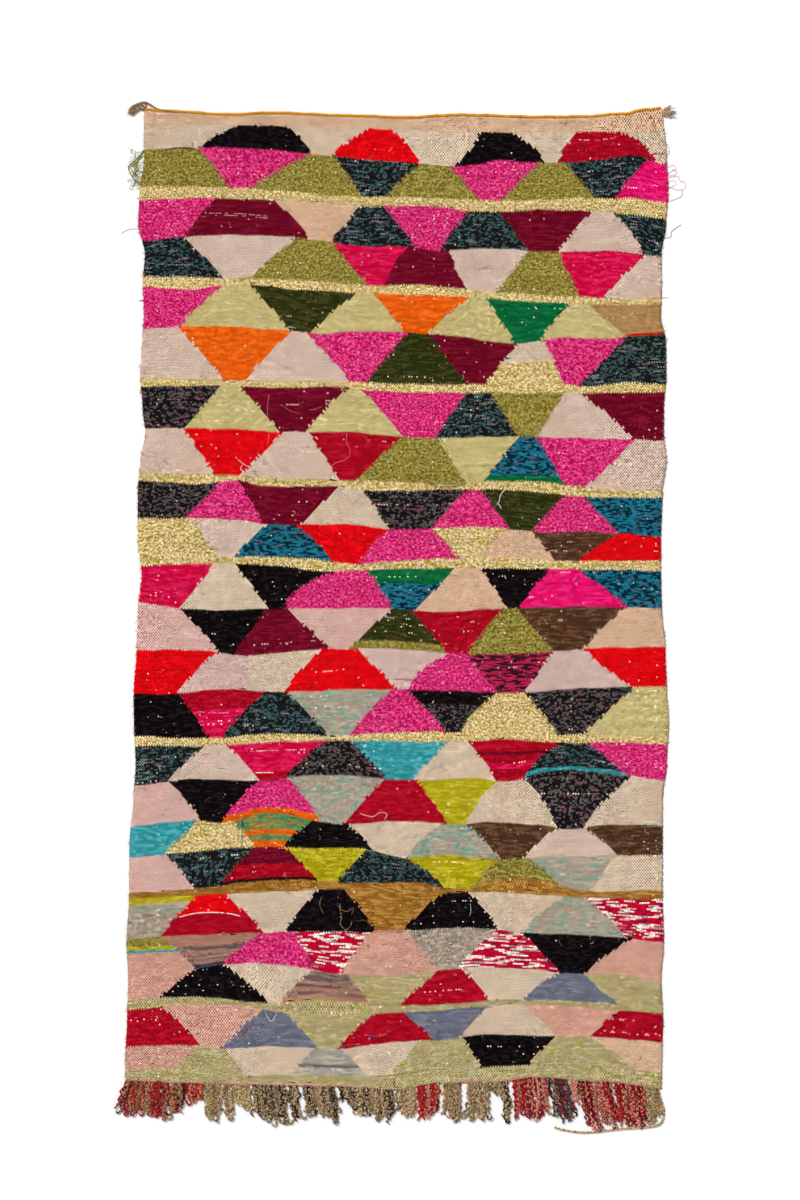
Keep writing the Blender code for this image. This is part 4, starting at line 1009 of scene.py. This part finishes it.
def surface_height(xs, ys, row, rows_in_all, ribs):
    """Height of the upper face along one row."""
    z = np.full(len(xs), CLOTH_THICKNESS)
    for rise, across_rate, along_rate in SWELLS:
        z += rise * np.sin(across_rate * xs + along_rate * ys)
    z += RIB_HEIGHT * np.interp(xs, np.linspace(-0.66, 0.66, ribs.shape[1]), ribs[row])
    z[0] = z[-1] = EDGE_HEIGHT
    if row in (0, rows_in_all):
        z[:] = EDGE_HEIGHT
    return z


def colour_changes(below, above):
    """Stretches of the line between two rows where the yarns on its two sides differ."""
    ends = sorted([below.stations[0], below.stations[-1], *below.marks, *above.marks])
    stretches = []
    for left, right in zip(ends, ends[1:]):
        middle = (left + right) / 2
        under, over = below.patch_at(middle), above.patch_at(middle)
        if right - left > LEAST_STEP and below.yarn_of(under) != above.yarn_of(over):
            stretches.append((left, right))
    return stretches


def scallops(below, above):
    """x and y offset of points where the beads of two rows of different yarns interlock."""
    points = {}
    for left, right in colour_changes(below, above):
        first = math.ceil((left + MERGE_WIDTH) / WARP_PITCH * 2)
        last = math.floor((right - MERGE_WIDTH) / WARP_PITCH * 2)
        for half in range(first, last + 1):
            is_crest = (half + below.first + below.rows - 1) % 2
            points[half * WARP_PITCH / 2] = SCALLOP if is_crest else -SCALLOP
    return points


def weave_line(cloth, below, above, top_of, is_fine):
    """Points of the line between two rows, and each row's chains of points for its faces."""
    row = above.first if above else below.first + below.rows
    strip, share = (above.strip, above.foot_share) if above else (below.strip, 1.0)
    bites = scallops(below, above) if is_fine and below and above else {}
    wanted = [(x, 2, 0) for x in bites]
    for side, a_row in enumerate((below, above)):
        if a_row:
            wanted += [(x, side, index) for index, x in enumerate(a_row.stations[1:-1], 1)]
    left, right = line_ends(strip, share, row)
    kept = [left]
    places = ({}, {}, {})
    for x, side, index in sorted(wanted):
        if x - kept[-1] >= MERGE_WIDTH:
            kept.append(x)
        places[side][index] = len(kept) - 1
    kept.append(right)
    xs = np.array(kept)
    ys = strip.height(xs, share)
    zs = top_of(xs, ys, row)
    ids = []
    for x, y, z in zip(xs, ys, zs):
        bite = bites.get(x, 0.0)
        ids.append(cloth.add_point(x, y + bite, z, row + bite / ROW_PITCH))
    chains = []
    for side, a_row in enumerate((below, above)):
        if a_row:
            at = [0] + [places[side][i] for i in range(1, len(a_row.stations) - 1)] + [len(kept) - 1]
            chains.append([ids[start: end + 1] for start, end in zip(at, at[1:])])
        else:
            chains.append([ids])
    return chains


def weave_face(cloth, rows, top_of, under):
    """One face of the cloth. It returns the points of its left and right edges, their rows, and its ends."""
    lines = [weave_line(cloth, None, rows[0], top_of, False)]
    for below, above in zip(rows, rows[1:]):
        lines.append(weave_line(cloth, below, above, top_of, not under))
    lines.append(weave_line(cloth, rows[-1], None, top_of, False))
    left = [lines[0][1][0][0]]
    right = [lines[0][1][-1][-1]]
    edge_rows = [0]
    for row, lower, upper in zip(rows, lines, lines[1:]):
        for index, (low, high) in enumerate(zip(lower[1], upper[0])):
            corners = low + high[::-1]
            if len(corners) < 3:
                continue
            if under:
                corners = corners[::-1]
            patch = row.patch_at((row.stations[index] + row.stations[index + 1]) / 2)
            cloth.add_face(corners, row.yarn_of(patch), row.strip.number * 11 + patch, under)
        left.append(upper[0][0][0])
        right.append(upper[0][-1][-1])
        edge_rows.append(row.first + row.rows)
    ends = (lines[0][0][0], lines[-1][1][0])
    return left, right, edge_rows, ends


def close_side(cloth, top, top_rows, under, under_rows, rows, outward):
    """A selvedge wall between the upper and the lower face."""
    for index, row in enumerate(rows):
        first = top_rows.index(under_rows[index])
        last = top_rows.index(under_rows[index + 1])
        corners = [under[index], under[index + 1]] + top[first: last + 1][::-1]
        patch = 0 if outward < 0 else len(row.strip.yarns) - 1
        if outward < 0:
            corners = corners[::-1]
        cloth.add_face(corners, row.yarn_of(patch), row.strip.number * 11 + patch)


def close_end(cloth, top, under, yarn, outward):
    """The wall between the two faces at the head or the foot, in triangles from left to right."""
    low = 0
    high = 0
    while low + 1 < len(under) or high + 1 < len(top):
        low_next = cloth.points[under[low + 1]][0] if low + 1 < len(under) else math.inf
        high_next = cloth.points[top[high + 1]][0] if high + 1 < len(top) else math.inf
        if low_next <= high_next:
            corners = [under[low], under[low + 1], top[high]]
            low += 1
        else:
            corners = [under[low], top[high + 1], top[high]]
            high += 1
        cloth.add_face(corners[::-1] if outward > 0 else corners, yarn, 0)


def make_cloth_mesh(group):
    """The woven cloth as one closed mesh."""
    strips = make_strips()
    rows_in_all = strips[-1].first_row + strips[-1].rows
    dice = np.random.default_rng(SEED)
    ribs = dice.normal(size=(rows_in_all + 1, round(1.32 / RIB_LENGTH)))
    cloth = Cloth()

    def upper(xs, ys, row):
        return surface_height(xs, ys, row, rows_in_all, ribs)

    def lower(xs, ys, row):
        return np.zeros(len(xs))

    top = weave_face(cloth, make_rows(strips, 1), upper, False)
    under_rows = make_rows(strips, UNDERSIDE_STEP)
    under = weave_face(cloth, under_rows, lower, True)
    close_side(cloth, top[0], top[2], under[0], under[2], under_rows, -1)
    close_side(cloth, top[1], top[2], under[1], under[2], under_rows, 1)
    close_end(cloth, top[3][0], under[3][0], "sage", -1)
    close_end(cloth, top[3][1], under[3][1], "peach", 1)
    return cloth_to_mesh(cloth, group)


def cloth_to_mesh(cloth, group):
    """A mesh with the weave's UVs, a flat map for both faces, and a material for each yarn."""
    mesh = bpy.data.meshes.new("woven_cloth")
    mesh.from_pydata(cloth.points, [], cloth.faces)
    names = sorted(set(cloth.yarns))
    for name in names:
        mesh.materials.append(make_yarn_material(name, group))
    slots = np.array([names.index(yarn) for yarn in cloth.yarns], np.int32)
    mesh.polygons.foreach_set("material_index", slots)
    mesh.polygons.foreach_set("use_smooth", np.ones(len(slots), bool))
    tone = mesh.attributes.new("patch", "FLOAT", "FACE")
    tone.data.foreach_set("value", np.array(cloth.patches, np.float32) * 1.37)
    corners = np.empty(len(mesh.loops), np.int32)
    mesh.loops.foreach_get("vertex_index", corners)
    weave = mesh.uv_layers.new(name="weave")
    weave.data.foreach_set("uv", np.array(cloth.weave, np.float32)[corners].ravel())
    totals = np.empty(len(mesh.polygons), np.int32)
    mesh.polygons.foreach_get("loop_total", totals)
    under = np.repeat(np.array(cloth.under, bool), totals)
    flat = np.array(cloth.points, np.float32)[corners, :2]
    share = (flat - flat.min(0)) / (flat.max(0) - flat.min(0))
    upper_map = share * (0.75, 0.998) + (0.001, 0.001)
    under_map = share * (0.24, 0.40) + (0.755, 0.001)
    bake = mesh.uv_layers.new(name="OFBake")
    bake.data.foreach_set("uv", np.where(under[:, None], under_map, upper_map).astype(np.float32).ravel())
    return mesh


def chart_shift():
    """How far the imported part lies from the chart, from the cloth's box."""
    low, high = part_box("cloth")
    chart_x = (SIDES[0][1] + max(row[2] for row in SIDES)) / 2
    chart_y = (min(row[1] for row in FOOT) + max(row[1] for row in HEAD)) / 2
    return Vector(((low.x + high.x) / 2 - chart_x, (low.y + high.y) / 2 - chart_y, 0.0))


SHIFT = chart_shift()


def add_piece(name, mesh, slot, *nodes):
    """An object for a mesh made on the chart, moved onto the part, that stands for these nodes."""
    mesh.transform(Matrix.Translation(SHIFT))
    piece = bpy.data.objects.new(name, mesh)
    bpy.context.scene.collection.objects.link(piece)
    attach(piece, "root")
    if nodes:
        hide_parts(*nodes)
    return piece


class Tubes:
    """Collects twisted yarns and threads as thin tubes for one mesh."""

    def __init__(self):
        self.points = []
        self.faces = []
        self.slots = []
        self.strands = []
        self.names = []
        self.count = 0

    def slot_of(self, name):
        if name not in self.names:
            self.names.append(name)
        return self.names.index(name)

    def add(self, path, radius, name, tone, sides=4):
        """A tube along a path of points that tapers at its tip and stays above the floor."""
        path = np.array(path, float)
        run = np.gradient(path, axis=0)
        run /= np.maximum(np.linalg.norm(run, axis=1), 1e-9)[:, None]
        side = np.cross(run, (0.0, 0.0, 1.0))
        side /= np.maximum(np.linalg.norm(side, axis=1), 1e-6)[:, None]
        rise = np.cross(side, run)
        girth = radius * np.minimum(1.0, 0.45 + 0.35 * np.arange(len(path))[::-1])
        turns = np.arange(sides) * 2 * math.pi / sides
        ring = side[:, None] * np.cos(turns)[None, :, None] + rise[:, None] * np.sin(turns)[None, :, None]
        points = path[:, None] + ring * girth[:, None, None]
        points[:, :, 2] = np.maximum(points[:, :, 2], 0.0)
        base = self.count
        self.points.append(points.reshape(-1, 3))
        self.count += len(path) * sides
        slot = self.slot_of(name)
        for step in range(len(path) - 1):
            for place in range(sides):
                after = (place + 1) % sides
                low = base + step * sides
                self.faces.append((low + place, low + after, low + sides + after, low + sides + place))
        last = base + (len(path) - 1) * sides
        self.faces.append(tuple(range(base + sides - 1, base - 1, -1)))
        self.faces.append(tuple(range(last, last + sides)))
        made = (len(path) - 1) * sides + 2
        self.slots += [slot] * made
        self.strands += [tone] * made

    def twist(self, path, ply_radius, turn, names, tone, sides=4):
        """Several plies that wind round one path."""
        path = np.array(path, float)
        steps = np.linalg.norm(np.diff(path, axis=0), axis=1)
        travelled = np.concatenate([[0.0], np.cumsum(steps)])
        run = np.gradient(path, axis=0)
        run /= np.maximum(np.linalg.norm(run, axis=1), 1e-9)[:, None]
        side = np.cross(run, (0.0, 0.0, 1.0))
        side /= np.maximum(np.linalg.norm(side, axis=1), 1e-6)[:, None]
        rise = np.cross(side, run)
        for ply, name in enumerate(names):
            angle = 2 * math.pi * (travelled / turn + ply / len(names))
            offset = side * np.cos(angle)[:, None] + rise * np.sin(angle)[:, None]
            self.add(path + offset * ply_radius * 0.95, ply_radius, name, tone + ply, sides)

    def mesh(self, title):
        mesh = bpy.data.meshes.new(title)
        mesh.from_pydata(np.concatenate(self.points).tolist(), [], self.faces)
        for name in self.names:
            mesh.materials.append(bpy.data.materials.get(name) or make_thread_material(name))
        mesh.polygons.foreach_set("material_index", np.array(self.slots, np.int32))
        mesh.polygons.foreach_set("use_smooth", np.ones(len(self.faces), bool))
        strand = mesh.attributes.new("strand", "FLOAT", "FACE")
        strand.data.foreach_set("value", np.array(self.strands, np.float32))
        return mesh


def foot_y(x):
    return read_row(FOOT, x, 1)


def strand_path(root, start_y, reach, lean, is_curled):
    """The middle of one crimped warp end on the floor, from under the cloth's foot to its tip."""
    crimp = random.uniform(*CRIMP)
    waves = reach / random.uniform(*CRIMP_LENGTH)
    phase = random.uniform(0, 2 * math.pi)
    roll = random.uniform(0, 2 * math.pi)
    layer = random.uniform(0.0, STRAND_LAYERS)
    meander = random.uniform(-0.008, 0.008)
    count = max(8, round(reach * 1.25 / STRAND_STEP))
    points = []
    for step in range(count + 1):
        t = step / count
        grown = min(1.0, 4 * t)
        x = root + lean * t**1.3 + meander * math.sin(math.pi * 1.6 * t)
        x += crimp * grown * math.sin(2 * math.pi * waves * t + phase)
        y = start_y - reach * t + 0.4 * crimp * grown * math.sin(4 * math.pi * waves * t + roll)
        z = 2 * PLY_RADIUS + layer + 0.3 * crimp * (1 + math.cos(2 * math.pi * waves * t + roll))
        points.append((x, y, z))
    if is_curled:
        points += curl_back(points[-1], random.choice((-1, 1)), random.uniform(0.003, 0.006))
    return points


def curl_back(tip, hand, radius):
    """An arc of a good half turn that ends a strand."""
    x, y, z = tip
    steps = round(radius * 3.6 / STRAND_STEP)
    arc = []
    for step in range(1, steps + 1):
        turn = 3.6 * step / steps
        arc.append((x + hand * radius * (1 - math.cos(turn)), y - radius * math.sin(turn), z))
    return arc


def smooth_path(knots, per_span, z):
    """Points on a Catmull-Rom curve through a few points on the floor, at one height."""
    knots = [Vector((x, y, z)) for x, y in knots]
    points = []
    for index in range(1, len(knots)):
        before = knots[max(index - 2, 0)]
        start = knots[index - 1]
        end = knots[index]
        after = knots[min(index + 1, len(knots) - 1)]
        for step in range(per_span):
            t = step / per_span
            bend = (end - before) * t
            bend += (before * 2 - start * 5 + end * 4 - after) * t * t
            bend += (start * 3 - before - end * 3 + after) * t * t * t
            points.append(tuple(start + bend / 2))
    points.append(tuple(knots[-1]))
    return points


def make_fringe(part, bunches, has_long_end):
    """A stretch of the fringe: bunches of crimped two-ply warp ends."""
    tubes = Tubes()
    for first, last, ends, first_reach, last_reach, first_lean, last_lean, mix in bunches:
        strands = round(ends * STRANDS_PER_END)
        for number in range(strands):
            share = (number + random.uniform(0.1, 0.9)) / strands
            root = first + (last - first) * share
            reach = (first_reach + (last_reach - first_reach) * share) * random.uniform(0.70, 1.10)
            lean = first_lean + (last_lean - first_lean) * share + random.gauss(0, 0.0055)
            path = strand_path(root, foot_y(root) + 0.002, reach, lean, random.random() < CURLED_SHARE)
            names = [random.choice(plies) for plies in MIXES[mix]]
            if random.random() < ONE_COLOUR_SHARE:
                names = [random.choice(names)] * 2
            tubes.twist(path, PLY_RADIUS, PLY_TURN * random.uniform(0.85, 1.2), names, random.random() * 7)
    if has_long_end:
        path = smooth_path(LONG_END, 20, 2.2 * LONG_END_PLY)
        tubes.twist(path, LONG_END_PLY, 1.6 * PLY_TURN, ("beige", "straw"), 0.4, 6)
    return add_piece("fringe_" + part, tubes.mesh("fringe_" + part), "warp_ends", "fringe")


def make_heading_cord():
    """The golden cord of two plies twined along the head."""
    first = read_row(SIDES, 1.21, 1) + CORD_END_INSET
    last = read_row(SIDES, 1.21, 2) - CORD_END_INSET
    count = round((last - first) / 0.0014)
    path = []
    for step in range(count + 1):
        x = first + (last - first) * step / count
        sway = 0.0005 * math.sin(90 * x) + 0.0003 * math.sin(211 * x)
        path.append((x, read_row(HEAD, x, 1) + CORD_RADIUS * 0.8 + sway, CORD_RADIUS + 0.0004))
    tubes = Tubes()
    tubes.twist(path, CORD_PLY_RADIUS, CORD_TURN, ("ochre", "ochre"), 0.3, 6)
    return add_piece("golden_cord", tubes.mesh("golden_cord"), "ochre_cord", "heading_cord")


def make_corner_loop():
    """A knotted loop of grey-brown yarn at the head's left corner, with a tail along the cord."""
    tubes = Tubes()
    for number, (first, second, knots) in enumerate(LOOP_YARNS):
        knots = [(x * CM, y * CM) for x, y in knots]
        path = smooth_path(knots, 6, LOOP_HEIGHT + LOOP_LAYER * number)
        tubes.twist(path, LOOP_PLY, LOOP_TURN, (first, second), number, 5)
    for number in range(LOOP_HAIRS):
        x = random.gauss(LOOP_MIDDLE[0], LOOP_SPREAD)
        y = random.gauss(LOOP_MIDDLE[1], LOOP_SPREAD)
        hair = stray_path(x, y, 6, 0.0011, HAIR_CURL, lambda *_: random.uniform(0.001, 0.005))
        tubes.add(hair, HAIR_RADIUS, random.choice(("grey", "beige", "dark_ply_and_gap_shade")), number * 0.37, 3)
    return add_piece("grey_loop", tubes.mesh("grey_loop"), "grey_yarn", "corner_loop")


def make_corner_tuft():
    """A fan of frayed tan ends at the head's right corner."""
    tubes = Tubes()
    for number in range(TUFT_ENDS):
        angle = TUFT_ANGLE + random.gauss(0, TUFT_FAN)
        start = (TUFT_PLACE[0] + random.uniform(-0.006, 0.004), TUFT_PLACE[1] + random.uniform(-0.007, 0.007))
        reach = TUFT_LENGTH * random.uniform(0.3, 1.0) * math.cos(angle - TUFT_ANGLE)
        end = (start[0] + reach * math.cos(angle), start[1] + reach * math.sin(angle))
        path = wavy(start, end, random.uniform(0.0005, 0.0024), random.uniform(0.8, 2), 0.0028, 12)
        name = random.choice(("tan_end", "tan_end", "beige", "grey"))
        tubes.add(path, random.uniform(0.0005, 0.0010), name, number * 0.41)
    return add_piece("beige_tuft", tubes.mesh("beige_tuft"), "beige_yarn", "corner_tuft")


def cloth_top(x, y):
    """Height of what a thread lies on: the cloth's upper face, eased down to the floor past its edges."""
    inset = min(x - read_row(SIDES, y, 1), read_row(SIDES, y, 2) - x, y - foot_y(x), read_row(HEAD, x, 1) - y)
    share = min(max(inset / EDGE_EASE + 0.5, 0.0), 1.0)
    z = CLOTH_THICKNESS
    for rise, across_rate, along_rate in SWELLS:
        z += rise * math.sin(across_rate * x + along_rate * y)
    return z * share


def laid(points, lift):
    """The points set down on the cloth or the floor."""
    return [(x, y, cloth_top(x, y) + lift) for x, y, *_ in points]


def stray_path(x, y, steps, length, curl, height=None):
    """A short path that wanders from x, y with a bend of its own."""
    heading = random.uniform(0, 2 * math.pi)
    bend = random.gauss(0, curl)
    points = [(x, y)]
    for _ in range(steps):
        heading += bend + random.gauss(0, 0.4 * curl)
        x += length * math.cos(heading)
        y += length * math.sin(heading)
        points.append((x, y))
    if height:
        return [(x, y, height(x, y)) for x, y in points]
    return points


def place_in(strips, margin=0.0):
    """A random place on the cloth, and the yarn that is woven there."""
    strip = random.choices(strips, [s.rows for s in strips])[0]
    share = random.random()
    x = random.uniform(FACE_RANGE[0] + margin, FACE_RANGE[1] - margin)
    y = float(strip.height(np.array([x]), share)[0])
    patch = bisect.bisect([strip.border_x(index, share) for index in range(len(strip.borders))], x)
    return x, y, yarn_at(strip.yarns[patch], share)


def bead_row(tubes, names, share, knots):
    """Beads of one pass of yarn, a warp pitch apart, along a line."""
    path = smooth_path([(x * CM, y * CM) for x, y in knots], 40, 0.0)
    next_x = path[0][0]
    for x, y, _ in path:
        if x < next_x:
            continue
        next_x += WARP_PITCH / 2
        if random.random() < share:
            bead = [(x + step, y) for step in BEAD_STEPS]
            tubes.add(laid(bead, THREAD_LIFT), BEAD_RADIUS, random.choice(names), x)


def make_loose_threads():
    """The threads that lie on the cloth, and its single standout passes."""
    tubes = Tubes()
    for number, (name, radius, knots) in enumerate(LOOSE_THREADS):
        radius *= 0.001
        path = smooth_path([(x * CM, y * CM) for x, y in knots], 6, 0.0)
        path = [(x + random.gauss(0, THREAD_JITTER), y + random.gauss(0, THREAD_JITTER)) for x, y, _ in path]
        tubes.add(laid(path, radius + THREAD_LIFT), radius, name, number * 0.31, 5)
    for names, share, knots in BEAD_ROWS:
        bead_row(tubes, names, share, knots)
    for number in range(TANGLE_HAIRS):
        x = random.gauss(TANGLE_MIDDLE[0], TANGLE_SPREAD[0])
        y = random.gauss(TANGLE_MIDDLE[1], TANGLE_SPREAD[1])
        hair = laid(stray_path(x, y, 7, 0.0022, 0.5), random.uniform(0.0004, 0.003))
        tubes.add(hair, FIBRE_RADIUS, random.choice(HAIRS["olive"]), number * 0.7, 3)
    return add_piece("loose_threads", tubes.mesh("loose_threads"), "mixed_wool")


def make_lint(strips):
    """Lint, stray hairs of the fuzzy yarns, thin fibres and the frayed selvedges."""
    tubes = Tubes()
    for names, count, yarns in LINT:
        for number in range(count):
            x, y, yarn = place_in(strips)
            if yarn in yarns:
                speck = laid(stray_path(x, y, 2, random.uniform(*SPECK_STEP), 0.5), LINT_LIFT)
                tubes.add(speck, random.uniform(*SPECK_RADIUS), random.choice(names), number * 0.3)
    for strip in strips:
        for index in range(len(strip.borders)):
            sides = [HAIRS[yarn] for yarn in strip.yarns[index: index + 2] if yarn in HAIRS]
            for number in range(HAIRS_PER_PATCH * len(sides)):
                share = random.random()
                x = strip.border_x(index, share) + random.gauss(0, BORDER_FUZZ)
                y = float(strip.height(np.array([x]), share)[0])
                hair = laid(stray_path(x, y, 3, random.uniform(*HAIR_STEP), HAIR_CURL), LINT_LIFT)
                tubes.add(hair, HAIR_RADIUS, random.choice(random.choice(sides)), number * 0.3, 3)
    for number in range(EDGE_HAIRS):
        y = random.uniform(*EDGE_RANGE)
        hand = random.choice((1, 2))
        x = read_row(SIDES, y, hand) + random.gauss(0, EDGE_FUZZ)
        name = random.choice(EDGE_NAMES)
        hair = laid(stray_path(x, y, 3, random.uniform(*EDGE_HAIR_STEP), HAIR_CURL), LINT_LIFT)
        tubes.add(hair, EDGE_HAIR_RADIUS, name, number * 0.3, 3)
    for number in range(FIBRES):
        x, y, yarn = place_in(strips, 0.02)
        name = random.choice(FIBRE_NAMES)
        if yarn in PALE_YARNS:
            name = random.choice(PALE_FIBRE_NAMES)
        fibre = laid(stray_path(x, y, random.randint(*FIBRE_STEPS), FIBRE_STEP, 0.35), 0.0007)
        tubes.add(fibre, FIBRE_RADIUS, name, number * 0.3, 3)
    return add_piece("lint", tubes.mesh("lint"), "mixed_wool")


def wavy(start, end, sway, waves, z, steps, lift=0.0):
    """Points from start to end that sway to both sides, with an arch of height lift."""
    along = Vector((end[0] - start[0], end[1] - start[1]))
    aside = Vector((-along.y, along.x)).normalized()
    phase = random.uniform(0, 2 * math.pi)
    points = []
    for step in range(steps + 1):
        t = step / steps
        off = sway * math.sin(2 * math.pi * waves * t + phase) * math.sin(math.pi * min(1.0, t + 0.15))
        here = Vector(start) + along * t + aside * off
        points.append((here.x, here.y, z + lift * math.sin(math.pi * t)))
    return points


def make_camera():
    """Looks straight down, as the photograph does."""
    data = bpy.data.cameras.new("camera")
    data.sensor_width = SENSOR_MM
    data.lens = LENS_MM
    camera = bpy.data.objects.new("camera", data)
    bpy.context.scene.collection.objects.link(camera)
    distance = METRES_PER_PIXEL * FRAME_HEIGHT_PX * LENS_MM / SENSOR_MM
    camera.location = (AIM[0] + SHIFT.x, AIM[1] + SHIFT.y, distance + CLOTH_THICKNESS)
    bpy.context.scene.camera = camera


def make_stage():
    """A plain pale floor, an even white sky and one broad soft sun."""
    mesh = bpy.data.meshes.new("floor")
    shape = bmesh.new()
    bmesh.ops.create_grid(shape, x_segments=1, y_segments=1, size=12)
    shape.to_mesh(mesh)
    shape.free()
    floor = bpy.data.objects.new("floor", mesh)
    bpy.context.scene.collection.objects.link(floor)
    material = bpy.data.materials.new("pale_floor")
    material.use_nodes = True
    shader = material.node_tree.nodes["Principled BSDF"]
    shader.inputs["Base Color"].default_value = (0.96, 0.96, 0.96, 1)
    shader.inputs["Roughness"].default_value = 0.9
    shader.inputs["Specular IOR Level"].default_value = 0.1
    mesh.materials.append(material)
    floor.location.z = -0.0002

    world = bpy.data.worlds.new("studio")
    world.use_nodes = True
    sky = world.node_tree.nodes["Background"]
    sky.inputs["Color"].default_value = (1, 1, 1, 1)
    sky.inputs["Strength"].default_value = SKY_STRENGTH
    bpy.context.scene.world = world

    lamp = bpy.data.lights.new("key", "SUN")
    lamp.energy = SUN_STRENGTH
    lamp.angle = SUN_ANGLE
    key = bpy.data.objects.new("key", lamp)
    key.rotation_euler = (-Vector(SUN_FROM)).to_track_quat("-Z", "Y").to_euler()
    bpy.context.scene.collection.objects.link(key)
    bpy.context.scene.view_settings.view_transform = "Standard"


def main():
    random.seed(SEED)
    group = make_weave_group()
    make_camera()
    make_stage()
    cloth = add_piece("woven_cloth", make_cloth_mesh(group), "mixed_wool", "cloth")
    trimmings = [
        make_heading_cord(),
        make_corner_loop(),
        make_corner_tuft(),
        make_fringe("left", BUNCHES[:7], False),
        make_fringe("middle", BUNCHES[7:17], False),
        make_fringe("right", BUNCHES[17:], True),
        make_loose_threads(),
        make_lint(make_strips()),
    ]
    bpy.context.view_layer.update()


main()
